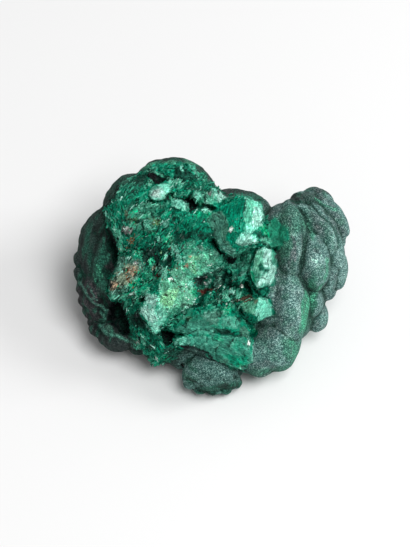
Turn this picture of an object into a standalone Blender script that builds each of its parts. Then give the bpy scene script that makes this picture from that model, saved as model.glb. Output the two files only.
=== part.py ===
"""Malachite specimen: a grape-like mass of velvety lobes, broken open on one side to show its crystalline inside.

The stone grew as one piece, so it is one solid. Its forms are laid out on the broken face: "across" runs to the
right, "up" runs up the face and "out" stands out of it, all in millimetres from a point near the stone's middle.
The layout is then leant back by FACE_LEAN and set on the ground, on the flats where the mass was broken off.
"""

import math
import random

import bmesh
import bpy
from mathutils import Matrix, Vector
from mathutils.bvhtree import BVHTree

MM = 0.001
STONE_WIDTH = 70.0  # across, over the outermost lobes
LAYOUT_WIDTH = 70.0  # the width that the tables below are written for
SCALE = MM * STONE_WIDTH / LAYOUT_WIDTH
FACE_LEAN = math.radians(35.0)  # how far the broken face's outward direction leans from straight up
REST_HEIGHT = 23.0  # from the ground to the layout's zero point
CENTRE_SHIFT = Vector((0.2, 4.1))  # from the layout's zero point to the middle of the footprint, as X and Y

SKIN_STEP = 0.55  # grid step of the skin that is drawn over the joined forms
FACE_COUNT = 9900  # triangles that the finished skin keeps
GRAIN_HEIGHT = 0.45  # the small swellings all over the skin
GRAIN_SIZE = 2.2
BLOCK_SPREAD = 1.12  # how much wider a block is at its root than at its front

# Rounded lobes: centre (across, up, out), half sizes along the same three, and a turn in the face's plane.
LOBES = {
    # the body that everything grows from
    "core_left": ((-9, 1, -11.5), (22, 20.5, 12.5), 0),
    "core_right": ((13, -1, -11), (17, 18.5, 13), 0),
    # velvety lobes on the right
    "right_fold": ((20, 8.5, -2.5), (4.4, 11, 8), 0),
    "right_fold_top": ((17.6, 12.6, -3.5), (4.8, 5.8, 6.5), 0),
    "right_mid": ((15.5, -5, -4), (5.5, 11, 8), 0),
    "right_big": ((19.2, -7, -3), (5.4, 10.5, 8.5), 0),
    "right_crest": ((24.6, 13.4, -3.5), (2.0, 7.2, 5), 26),
    "right_arch": ((28.2, 10, -5), (4.2, 9.4, 6.5), 25),
    "right_bulge": ((25.6, 3.4, -2.8), (4.8, 7, 7.5), 4),
    "right_flank": ((29, 2.6, -6), (3.2, 7.8, 5.5), 0),
    "right_join": ((25.6, -5.6, -6), (2.8, 5, 5), 0),
    "knob_left": ((24.0, 18.3, -8), (4.2, 2.9, 5), -12),
    "knob_cap": ((27.2, 19.6, -10.5), (4.2, 2.4, 4), -20),
    "knob_band": ((30.2, 15.2, -9), (6.8, 3.3, 5), -48),
    "knob_side": ((32.2, 12.4, -10), (2.8, 4.4, 4.5), 0),
    "knob_foot": ((32.3, 9.2, -11), (2.0, 2.4, 3), 0),
    "side_middle": ((31.8, 1.6, -9), (3.0, 5.1, 5.5), 0),
    "side_small": ((29.2, -4, -9), (2.5, 2.3, 3.5), 0),
    "side_low": ((26.5, -9.9, -11), (3.2, 4.3, 5), 0),
    "right_low": ((16.2, -16.7, -4.5), (6.0, 7.5, 8), 0),
    "right_low_front": ((12.0, -19.9, -4.8), (5.7, 5.5, 7.5), 0),
    "right_low_rim": ((20.2, -15.8, -5.5), (2.4, 4.8, 6), 0),
    "right_low_bump": ((19.8, -19.2, -6.5), (1.9, 2, 4), 0),
    "back_rim": ((7.4, 13.9, -7), (9.9, 7.8, 8), -19),
    "foot": ((0.4, -24.4, -3.5), (7.8, 5.6, 7), 0),
    "foot_right": ((4.8, -26.6, -4), (3.2, 3.0, 4), 0),
    "foot_left": ((-4.5, -25.6, -4), (2.9, 3.2, 4), 0),
    # the shells on the left and above
    "shell_top": ((-9.9, 17.4, -10), (12.2, 12.7, 11), 0),
    "shell_top_left": ((-19.2, 16.5, -10), (8.2, 9.7, 10), 0),
    "shell_left": ((-23.2, 5.4, -11), (10.7, 13.2, 11), 0),
    "left_bead_high": ((-33.3, 4.2, -10), (1.7, 2.1, 3), 0),
    "left_bead_low": ((-33.3, 0.6, -10), (1.6, 2.1, 3), 0),
    "left_roll": ((-29, -3.9, -10), (5.5, 6.8, 9), 0),
    "left_roll_low": ((-27.8, -7.6, -12), (5.4, 5.0, 8), 0),
    "left_foot": ((-24.8, -14.8, -10.5), (6.4, 4.6, 8), 0),
    "low_bead": ((-18.5, -18.3, -9), (2.1, 1.8, 3), 0),
}

# Broken blocks with flat faces: the corners of the front, as (across, up, out), and how deep the root goes.
BLOCKS = {
    "chunk": ([(3.8, 19.2, 4), (6.2, 20, 5), (9, 19.8, 6), (8.2, 17.8, 8.5), (12.4, 17.8, 3), (13.2, 15, 3),
               (12.8, 12.4, 4), (8, 13.5, 9.5), (5, 11.8, 9), (6.2, 8.2, 8.5), (9.8, 9.5, 7.5), (12.2, 9, 5.5),
               (11.8, 7.8, 5), (0.5, 16, 3.5), (0.5, 11, 4), (1.5, 8.5, 4.5), (2.8, 6, 4), (4.8, 5, 4),
               (6.2, 6.4, 5.5), (2.8, 17.5, 5)], 7),
    "green_tip": ([(12.6, 13, 2), (14.6, 9, 2.5), (14.6, 7.4, 2.5), (12.4, 7.2, 3), (12, 10, 4.5)], 6),
    "green_side": ([(13.6, 13.6, 1), (18.2, 13.6, 2), (18.8, 8, 4), (15.2, 7, 4), (13, 9, 3)], 6),
    "pale_high": ([(12.8, 6.4, 5), (15, 6.8, 4), (16.4, 5.4, 2.5), (16.2, 2, 2.5), (15.2, -2.2, 2.5),
                   (13.2, -2.6, 4), (11.4, -3.2, 4), (10.6, -2, 3.5), (9.8, 1, 3), (10.8, 3.6, 3.5),
                   (11.4, 6, 3.5), (12.8, 2.4, 7), (12.2, -1, 6), (14.8, 2, 6)], 7),
    "pale_low": ([(12, -5.4, 5.5), (13.4, -5.8, 4.6), (15, -8, 3.6), (15.2, -9.8, 3.2), (13.4, -10.4, 4),
                  (12, -11.2, 5), (9.8, -11.2, 3.6), (8.2, -10.2, 3.4), (7.2, -7.4, 3), (9, -6.2, 3.6),
                  (10.9, -9, 6.8)], 7),
    "between_pale": ([(12, -3, 2), (15, -3, 2), (15.4, -6, 2.2), (12.6, -6, 2.6), (11.4, -4.4, 2.4)], 6),
    "valley_fin": ([(5, -1.8, 2), (6.2, 0.2, 2.6), (8.8, 1.2, 3), (9, 0, 3), (8.2, -1.4, 3.4),
                    (6.2, -2.4, 3)], 6),
    "valley_leaf": ([(1, -0.8, 2), (2, -0.8, 2.6), (2.2, -2.8, 3), (1.2, -2.4, 3)], 5),
    "valley_step": ([(-1.6, -4.8, 2.6), (0.5, -3.8, 3), (2, -4.4, 3), (2, -6, 3.4), (0.2, -6.8, 3.4),
                     (-2, -6, 2.6)], 6),
    "valley_low": ([(2.8, -3.4, 2), (6.4, -3.2, 2), (7.4, -5.4, 2.6), (4, -6.8, 3.4), (2.4, -6, 2.6)], 6),
    "plateau": ([(-9, 8, 5), (-5.2, 9, 5.5), (-1, 8.2, 5.5), (1.5, 5.5, 6), (2.8, 2.5, 5), (-0.2, 1.5, 6),
                 (-2.2, 0.2, 6.5), (-4.5, -0.8, 7), (-7.8, 3.5, 6.5), (-5.8, 5, 7.2)], 8),
    "slab": ([(-9.8, 3, 5.6), (-6.2, 3.5, 7), (-4, -0.2, 7), (-4.2, -1.8, 6.5), (-2.8, -4, 5.5),
              (-3.8, -6.5, 5.5), (-6.2, -7.5, 6), (-9.8, -10, 6), (-12, -10, 6.5), (-15.6, -6.4, 6),
              (-16, -4, 5.5), (-12.8, -1.8, 6.5), (-10.2, -4.8, 8.2), (-6.5, -1, 7.8)], 8),
    "slab_end": ([(-15.8, -5.5, 6.8), (-12.8, -5.5, 7.8), (-12, -10.5, 7.2), (-11.5, -12.5, 6.2),
                  (-13.8, -14.5, 5.5), (-15.8, -12.5, 5), (-17.8, -9, 4.5), (-17, -7.2, 5.5),
                  (-14.5, -9, 8.4)], 7),
    "tan": ([(-25.5, -1.8, 1.5), (-24.5, -0.8, 2.5), (-23.2, 4, 2), (-21.8, 5.2, 3), (-18.2, 6.5, 4),
             (-16.8, 4.5, 4), (-16.5, 1, 4.5), (-17.8, -2, 5), (-19.2, -3.8, 4), (-20.2, -5.5, 2.5),
             (-24.8, -5.5, 1.5), (-25.5, -4.8, 1), (-23.2, -1.5, 4.5), (-19.2, 2, 5.8)], 8),
    "tan_side": ([(-17.2, 1, 4.5), (-15.2, 1.5, 4.5), (-14, -1, 4.5), (-15.2, -3.5, 5), (-17.8, -5.5, 4),
                  (-19.5, -4.8, 3), (-18.5, -2, 5.2)], 7),
    "pocket": ([(-17.4, 7.6, 2.4), (-13, 8.6, 3.6), (-9, 8, 3.6), (-9.4, 3.4, 3.2), (-12, 0.4, 3.4), (-14.6, 0.6, 3),
                (-16.6, 3.6, 2.6), (-13.4, 5, 4.4)], 6),
    "edge": ([(-26.8, 16.2, -1.5), (-25.2, 18, 0), (-22.2, 18, 2), (-20.8, 15.5, 3.5), (-20.8, 9, 3.5),
              (-21.2, 6, 3), (-23, 6.2, 1.5), (-24.5, 10, 0.8), (-25.8, 13.5, -0.4)], 8),
    "rough_left": ([(-21.2, 17.5, 2.5), (-16.5, 18.2, 3.5), (-11.5, 17.2, 4), (-9.8, 12.8, 4.5), (-10.2, 8, 4),
                    (-15.2, 6.5, 3.5), (-20.2, 6.5, 3), (-21.8, 11.5, 3.5), (-15.2, 12.8, 5.5),
                    (-19, 9.5, 5)], 8),
    "rough_mid": ([(-11.5, 17.2, 4), (-6.5, 16.5, 4), (0.5, 16, 3.5), (0.8, 9.5, 4), (-2.8, 8.2, 4.5),
                   (-9, 8.2, 4), (-10.8, 11.5, 4), (-5.2, 12.8, 5.5)], 8),
    "mint_left": ([(-15.5, 20.8, 2.5), (-14.2, 22.2, 2.5), (-10.2, 23.8, 2), (-7.8, 23.8, 2),
                   (-9.8, 21.5, 4.5), (-11.5, 20, 5), (-12.5, 18.8, 4.5), (-15, 19.2, 3.5),
                   (-13.2, 20.8, 5.4)], 6),
    "mint_mid": ([(-9.8, 19, 4), (-7.8, 19.8, 4), (-5.8, 18, 4), (-5.2, 16.2, 3.5), (-6.8, 15.8, 4.5),
                  (-9, 17, 5.4), (-10.8, 17.5, 4)], 6),
    "mint_right": ([(-4.5, 20.2, 2.5), (-2.8, 21.2, 2.5), (0.2, 22.6, 1.5), (2, 21.3, 1.5), (3.7, 19.5, 2),
                    (3.2, 18, 3), (1.8, 17, 3.5), (-1.5, 18.2, 4.5), (-3.8, 18.8, 4), (-0.2, 20, 5)], 6),
    "upper_band": ([(-9.8, 23.5, 1.5), (-2.8, 23.2, 1.2), (-1.8, 21.5, 2), (-4.8, 20, 2.5), (-7.8, 19.8, 3),
                    (-9.8, 21, 3)], 6),
    "rough_corner": ([(-24.8, 19, -1), (-22.8, 23, -1.4), (-19, 24.6, -1), (-15.2, 23.5, 0), (-15.2, 19, 2),
                      (-20.2, 17.5, 2.5), (-23.2, 17.5, 1.5), (-19.5, 21, 2.8)], 7),
    "ledge_high": ([(-11.5, -12.5, 3), (-8.2, -10.5, 3.5), (-4.8, -8, 3.5), (0.2, -7, 3), (5.2, -7, 3),
                    (7.2, -9.5, 3), (9.8, -13.5, 3.5), (8.8, -15, 4), (1, -15, 4.5), (-5.2, -14.5, 4.5),
                    (-10.2, -13.5, 3.5), (-1.5, -11, 5.2), (4.2, -10.5, 4.8)], 8),
    "ledge_low": ([(-9, -16, 4), (-7.2, -15, 4.8), (-2.8, -13.5, 5.2), (0.2, -15, 5.5), (4.8, -15.5, 5.5),
                   (9.2, -15.5, 4.5), (10.5, -18, 4), (9.8, -21, 4), (7.5, -23.2, 4), (4.2, -22.2, 4),
                   (0.8, -20.5, 4), (-2.2, -18.5, 4), (-5.2, -17.2, 4), (-8.5, -17.2, 3.5),
                   (6, -18.5, 6.5)], 6),
    "low_left": ([(-20.5, -6.8, 0), (-17.8, -6, 1.5), (-16, -9, 1), (-14.8, -13, 1), (-12.8, -15, 1),
                  (-13.2, -18, 0.5), (-17.2, -18.5, -1.5), (-20, -17.8, -3), (-20.8, -14.8, -3),
                  (-20.8, -10.5, -2), (-17.8, -12.2, 2)], 8),
    "low_mid": ([(-15.2, -15.5, 0.5), (-11, -15.5, 1.5), (-8.2, -17.5, 1.5), (-5.8, -18.5, 1), (-5.2, -20.5, -1),
                 (-8.2, -22.5, -3.5), (-11.5, -21.2, -2.5), (-15.2, -21, -3.5), (-16.8, -19.5, -3),
                 (-10.8, -19, 1.5)], 8),
    "low_tip": ([(-15.8, -19, -1.5), (-11.5, -18.5, -1), (-11.2, -21, -2), (-13.8, -22.8, -4),
                 (-15, -21.5, -4)], 4),
    "low_spur": ([(-11.5, -21.4, -4), (-9, -20.5, -3), (-6.6, -23.6, -5.5), (-8.6, -23.3, -6.5)], 4),
}

# Holes: centre, half sizes and turn, as for the lobes.
PITS = {
    "valley_left": ((-1.5, -1.8, 2), (2.6, 1.7, 4.5), 20),
    "valley_mid": ((2.2, 0.4, 1.5), (3.2, 1.5, 5), 0),
    "valley_top": ((6.2, 3.6, 2), (3.6, 2.0, 5.5), 30),
    "valley_right": ((9.0, -2.8, 1.5), (1.3, 2.6, 4.5), 10),
    "under_fin": ((5.0, -2.9, 2), (1.8, 0.9, 3.5), 0),
    "top_hole": ((-4.9, 18.3, 3), (1.4, 2.2, 5), 20),
    "fibre_hole": ((-13.2, 24.7, 0), (3.4, 1.5, 3.4), -12),
    "low_hole": ((-11, -15.7, 2.5), (1.6, 1.9, 5), 0),
    "left_hole_high": ((-23.4, -9.0, -2), (2.3, 2.6, 6), -20),
    "left_hole_low": ((-22.4, -12.2, -2.4), (2.4, 3.0, 6), 14),
    "groove_high": ((-26.2, 11, 0), (0.9, 3.0, 3), 20),
    "groove_mid": ((-25.0, 7.4, -0.4), (1.4, 2.6, 4), 26),
    "groove_low": ((-23.9, 4.2, -0.6), (1.2, 2.4, 3.6), 6),
    "ledge_hollow": ((3.0, -14.2, 5.6), (2.2, 0.8, 2.0), 0),
    "small_a": ((-10.4, 5.0, 4.5), (0.9, 1.6, 3), 20),
    "small_b": ((-13.2, 2.2, 4.5), (0.9, 1.3, 3), 0),
    "small_c": ((-13.6, -0.4, 4.5), (0.8, 1.8, 3), -20),
}

# Lobes all over the back and the underside, on an inner body of these half sizes.
BACK_CENTRE = (-1, 1, -12)
BACK_HALF = (24, 15.5, 11.5)
BACK_LOBES = 110  # steps of the spiral that places them; those on the broken side are left out
BACK_LIMIT = -0.28
BACK_SIZES = (4.2, 7.2)

CHIPS = 150  # small broken pieces that stand out of the broken face
CHIP_SIZES = (0.9, 2.1)


def on_face(across, up, out):
    """A point of the layout, in metres in the part's own frame."""
    back = math.cos(FACE_LEAN) * up - math.sin(FACE_LEAN) * out
    height = math.sin(FACE_LEAN) * up + math.cos(FACE_LEAN) * out + REST_HEIGHT
    return Vector((across - CENTRE_SHIFT.x, back - CENTRE_SHIFT.y, height)) * SCALE


def face_frame():
    """Turns the layout's three directions to where they point on the stone."""
    return Matrix.Rotation(FACE_LEAN, 4, "X")


def add_lobe(mesh, centre, half_sizes, turn):
    """One rounded lobe, as an ellipsoid."""
    place = (
        Matrix.Translation(on_face(*centre))
        @ face_frame()
        @ Matrix.Rotation(math.radians(turn), 4, "Z")
        @ Matrix.Diagonal((*[size * SCALE for size in half_sizes], 1))
    )
    bmesh.ops.create_icosphere(mesh, subdivisions=4, radius=1, matrix=place)


def add_block(mesh, corners, depth):
    """One broken block: flat faces between its front corners, and walls that widen down to its root."""
    middle = sum((Vector(corner) for corner in corners), Vector()) / len(corners)
    points = []
    for across, up, out in corners:
        points.append(on_face(across, up, out))
        root_across = middle.x + (across - middle.x) * BLOCK_SPREAD
        root_up = middle.y + (up - middle.y) * BLOCK_SPREAD
        points.append(on_face(root_across, root_up, min(out, middle.z) - depth))
    verts = [mesh.verts.new(point) for point in points]
    hull = bmesh.ops.convex_hull(mesh, input=verts)
    inner = {part for part in hull["geom_interior"] + hull["geom_unused"] if isinstance(part, bmesh.types.BMVert)}
    bmesh.ops.delete(mesh, geom=list(inner), context="VERTS")


def add_back_lobes(mesh, rng):
    """Lobes in a spiral over the back and the underside."""
    golden_turn = math.pi * (3 - math.sqrt(5))
    for step in range(BACK_LOBES):
        out = 1 - 2 * (step + 0.5) / BACK_LOBES
        if out > BACK_LIMIT:
            continue
        ring = math.sqrt(1 - out * out)
        around = step * golden_turn
        direction = (ring * math.cos(around), ring * math.sin(around), out)
        centre = [middle + half * part for middle, half, part in zip(BACK_CENTRE, BACK_HALF, direction)]
        size = rng.uniform(*BACK_SIZES) * (0.62 + 0.38 * abs(out))
        half_sizes = (size, size * rng.uniform(0.8, 1.15), size * rng.uniform(0.8, 1.0))
        add_lobe(mesh, centre, half_sizes, rng.uniform(-40, 40))


def add_chips(mesh, rng):
    """Small angular pieces standing on the broken face, where a look straight at the face meets it."""
    surface = BVHTree.FromBMesh(mesh)
    towards = face_frame().to_3x3() @ Vector((0, 0, -1))
    fronts = [corners for corners, depth in BLOCKS.values()]
    for _ in range(CHIPS):
        picked = [Vector(corner) for corner in rng.sample(rng.choice(fronts), 3)]
        shares = [rng.random() + 0.1 for _ in picked]
        spot = sum((corner * share for corner, share in zip(picked, shares)), Vector()) / sum(shares)
        hit = surface.ray_cast(on_face(spot.x, spot.y, LAYOUT_WIDTH), towards)[0]
        size = rng.uniform(*CHIP_SIZES) * SCALE
        turn = Matrix.Rotation(rng.uniform(0, math.tau), 4, Vector([rng.uniform(-1, 1) for _ in range(3)]).normalized())
        stretch = Matrix.Diagonal((size, size * rng.uniform(0.5, 0.9), size * rng.uniform(0.4, 0.8), 1))
        bmesh.ops.create_icosphere(mesh, subdivisions=1, radius=1, matrix=Matrix.Translation(hit) @ turn @ stretch)


def object_from(mesh, name):
    data = bpy.data.meshes.new(name)
    mesh.to_mesh(data)
    mesh.free()
    made = bpy.data.objects.new(name, data)
    bpy.context.scene.collection.objects.link(made)
    return made


def make_forms():
    """Every lobe and block, pushed through each other."""
    forms = bmesh.new()
    for centre, half_sizes, turn in LOBES.values():
        add_lobe(forms, centre, half_sizes, turn)
    add_back_lobes(forms, random.Random(11))
    for corners, depth in BLOCKS.values():
        add_block(forms, corners, depth)
    add_chips(forms, random.Random(5))
    return object_from(forms, "malachite")


def draw_skin(item, label="skin"):
    """One closed skin over everything that is pushed through each other."""
    skin = item.modifiers.new(label, "REMESH")
    skin.mode = "VOXEL"
    skin.voxel_size = SKIN_STEP * SCALE


def take_away(stone, cutter, label):
    cutter.hide_render = True
    cutter.display_type = "WIRE"
    cut = stone.modifiers.new(label, "BOOLEAN")
    cut.operation = "DIFFERENCE"
    cut.solver = "EXACT"
    cut.object = cutter


def make_pits():
    pits = bmesh.new()
    for centre, half_sizes, turn in PITS.values():
        add_lobe(pits, centre, half_sizes, turn)
    made = object_from(pits, "pits_cutter")
    draw_skin(made)
    return made


def make_ground():
    """A block below the ground, to cut the flats that the stone rests on."""
    ground = bmesh.new()
    side = 2 * STONE_WIDTH * MM
    bmesh.ops.create_cube(ground, size=side, matrix=Matrix.Translation((0, 0, -side / 2)))
    return object_from(ground, "ground_cutter")


def roughen(stone):
    swelling = bpy.data.textures.new("swelling", "CLOUDS")
    swelling.noise_scale = GRAIN_SIZE * SCALE
    rough = stone.modifiers.new("rough", "DISPLACE")
    rough.texture = swelling
    rough.strength = GRAIN_HEIGHT * SCALE
    rough.mid_level = 0.5
    rough.texture_coords = "GLOBAL"


def thin_out(stone, starting_count):
    thin = stone.modifiers.new("thin", "DECIMATE")
    thin.ratio = FACE_COUNT / starting_count


def count_triangles(item):
    view = bpy.context.evaluated_depsgraph_get()
    mesh = item.evaluated_get(view).to_mesh()
    return sum(len(face.vertices) - 2 for face in mesh.polygons)


def make_material():
    made = bpy.data.materials.new("malachite")
    made.use_nodes = True
    shader = made.node_tree.nodes["Principled BSDF"]
    shader.inputs["Base Color"].default_value = (0.035, 0.16, 0.11, 1)
    shader.inputs["Roughness"].default_value = 0.75
    shader.inputs["Metallic"].default_value = 0.0
    return made


def main():
    for old in list(bpy.data.objects):
        bpy.data.objects.remove(old)
    stone = make_forms()
    draw_skin(stone)
    take_away(stone, make_pits(), "pits")
    draw_skin(stone, "skin_with_pits")
    roughen(stone)
    thin_out(stone, count_triangles(stone))
    take_away(stone, make_ground(), "flats")
    stone.data.materials.append(make_material())
    stone.data.shade_smooth()


main()
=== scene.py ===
import itertools
import math
import random

import bpy
import numpy as np
from mathutils import Matrix, Vector


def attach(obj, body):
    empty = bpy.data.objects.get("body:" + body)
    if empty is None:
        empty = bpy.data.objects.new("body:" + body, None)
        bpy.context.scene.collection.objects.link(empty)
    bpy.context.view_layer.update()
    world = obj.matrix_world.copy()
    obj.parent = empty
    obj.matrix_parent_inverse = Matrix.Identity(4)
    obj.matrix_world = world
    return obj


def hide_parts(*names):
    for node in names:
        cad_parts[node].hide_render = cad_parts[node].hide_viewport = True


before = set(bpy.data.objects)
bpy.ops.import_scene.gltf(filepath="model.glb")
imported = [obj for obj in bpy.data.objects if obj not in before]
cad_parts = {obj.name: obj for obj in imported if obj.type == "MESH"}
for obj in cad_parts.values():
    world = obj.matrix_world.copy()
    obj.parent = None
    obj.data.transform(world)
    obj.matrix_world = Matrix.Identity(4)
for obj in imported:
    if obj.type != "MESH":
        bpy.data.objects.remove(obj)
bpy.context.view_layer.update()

# The stone is laid out on its broken face, in millimetres: across to the right, up the face, and out of it.
layout = {
    "mm": 0.001,
    "faceLean": math.radians(35),  # how far the face's outward direction leans from straight up
    "restHeight": 23.0,  # from the ground to the layout's zero point
    "shift": (0.2, 4.1),  # from the zero point to the middle of the footprint, as X and Y
}


def onFace(across, up, out):
    lean = layout["faceLean"]
    back = math.cos(lean) * up - math.sin(lean) * out
    height = math.sin(lean) * up + math.cos(lean) * out + layout["restHeight"]
    return Vector((across - layout["shift"][0], back - layout["shift"][1], height)) * layout["mm"]


def fromFace(points):  # the same for many points at once
    lean = layout["faceLean"]
    back = math.cos(lean) * points[:, 1] - math.sin(lean) * points[:, 2]
    height = math.sin(lean) * points[:, 1] + math.cos(lean) * points[:, 2]
    moved = np.stack([points[:, 0], back, height], axis=1)
    return (moved - [*layout["shift"], -layout["restHeight"]]) * layout["mm"]


def toFace(points):  # and the other way round
    lean = layout["faceLean"]
    moved = points / layout["mm"] + [*layout["shift"], -layout["restHeight"]]
    up = math.cos(lean) * moved[:, 1] + math.sin(lean) * moved[:, 2]
    out = math.cos(lean) * moved[:, 2] - math.sin(lean) * moved[:, 1]
    return np.stack([moved[:, 0], up, out], axis=1)


def faceTurn(turn=0):
    return Matrix.Rotation(layout["faceLean"], 4, "X") @ Matrix.Rotation(math.radians(turn), 4, "Z")


def turnedToFace(directions):
    return directions @ np.array(faceTurn().to_3x3())


def pickOnly(items):
    bpy.ops.object.select_all(action="DESELECT")
    for item in items:
        item.select_set(True)
    bpy.context.view_layer.objects.active = items[0]


def joinAll(items, name):
    pickOnly(items)
    bpy.ops.object.join()
    bpy.ops.object.transform_apply(location=True, rotation=True, scale=True)
    joined = bpy.context.object
    joined.name = name
    return joined


def applyAll(item):
    pickOnly([item])
    for step in list(item.modifiers):
        bpy.ops.object.modifier_apply(modifier=step.name)


def editAll(item, *steps):  # runs steps of edit mode on the whole mesh
    pickOnly([item])
    bpy.ops.object.mode_set(mode="EDIT")
    bpy.ops.mesh.select_all(action="SELECT")
    for step in steps:
        step()
    bpy.ops.object.mode_set(mode="OBJECT")


def meshFrom(name, points, faces):
    mesh = bpy.data.meshes.new(name)
    mesh.from_pydata(points, [], faces)
    made = bpy.data.objects.new(name, mesh)
    bpy.context.scene.collection.objects.link(made)
    return made


def fetch(items, name, width=1, kind=np.float32):  # one number or one row of numbers for each item
    values = np.empty(len(items) * width, kind)
    items.foreach_get(name, values)
    return values.reshape(-1, width) if width > 1 else values


def positions(mesh):
    return fetch(mesh.vertices, "co", 3).astype(float)


def directions(mesh):
    return fetch(mesh.vertices, "normal", 3).astype(float)


def firstCorners(mesh):  # the vertex that each face begins with
    return fetch(mesh.loops, "vertex_index", 1, np.int32)[fetch(mesh.polygons, "loop_start", 1, np.int32)]


def keep(mesh, name, values):  # numbers or rows of three are kept on the vertices for later
    if values.ndim == 1:
        made = mesh.attributes.new(name, "FLOAT", "POINT")
        made.data.foreach_set("value", values.astype(np.float32))
        return
    made = mesh.attributes.new(name, "FLOAT_COLOR", "POINT")
    made.data.foreach_set("color", np.c_[values, np.ones(len(values))].astype(np.float32).ravel())


def kept(mesh, name):
    return fetch(mesh.attributes[name].data, "value").astype(float)


def keptColours(mesh, name):
    return fetch(mesh.attributes[name].data, "color", 4)[:, :3].astype(float)


def smoothStep(values, low, high):
    part = np.clip((values - low) / (high - low), 0, 1)
    return part * part * (3 - 2 * part)


def turned(across, up, turn):  # the same places on axes turned by an angle
    angle = math.radians(turn)
    along = across * math.cos(angle) + up * math.sin(angle)
    return along, up * math.cos(angle) - across * math.sin(angle)


def unit(vectors):
    return vectors / np.linalg.norm(vectors, axis=1)[:, None]


# Roughness comes from the cells of a grid, whose numbers are scattered in the same way each time.
scatter = {
    "cell": (73856093, 19349663, 83492791),
    "seed": 668265263,
    "rounds": ((13, 1274126177), (15, 461845907)),
    "lastShift": 16,
    "span": 2000,  # how many cells a grid may have along each axis
}


def numberOf(cells, seed):  # a number from 0 to 1 for each cell
    first, second, third = scatter["cell"]
    mixed = cells[:, 0] * first ^ cells[:, 1] * second ^ cells[:, 2] * third ^ (seed * scatter["seed"])
    for shift, factor in scatter["rounds"]:
        mixed = ((mixed ^ (mixed >> shift)) * factor) & 0xFFFFFFFF
    return ((mixed ^ (mixed >> scatter["lastShift"])) & 0xFFFF) / 0xFFFF


def softNoise(points, size, seed):  # rolling heights from -1 to 1
    home = np.floor(points / size)
    part = smoothStep(points / size - home, 0, 1)
    home = home.astype(np.int64)
    total = np.zeros(len(points))
    for corner in itertools.product((0, 1), repeat=3):
        share = np.prod(np.where(corner, part, 1 - part), axis=1)
        total += share * numberOf(home + corner, seed)
    return total * 2 - 1


def nearestMiddle(points, size, seed):  # the squared distance to the nearest cell's middle, and that cell
    home = np.floor(points / size).astype(np.int64)
    nearest = np.full(len(points), np.inf)
    chosen = home.copy()
    for step in itertools.product((-1, 0, 1), repeat=3):
        cell = home + step
        middle = np.stack([numberOf(cell, seed + k) for k in range(3)], axis=1)
        away = points / size - (cell + middle)
        distance = (away * away).sum(axis=1)
        closer = distance < nearest
        nearest[closer] = distance[closer]
        chosen[closer] = cell[closer]
    return nearest, chosen


def facetOf(points, normals, size, seed):  # each point's facet, by its place and by which way it looks
    cell = nearestMiddle(points, size, seed)[1] + scatter["span"] // 2
    number = (cell[:, 0] * scatter["span"] + cell[:, 1]) * scatter["span"] + cell[:, 2]
    sides = np.argmax(np.abs(normals), axis=1)
    signs = normals[np.arange(len(normals)), sides] > 0
    return np.unique(number * 6 + sides * 2 + signs, return_inverse=True)[1]


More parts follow.
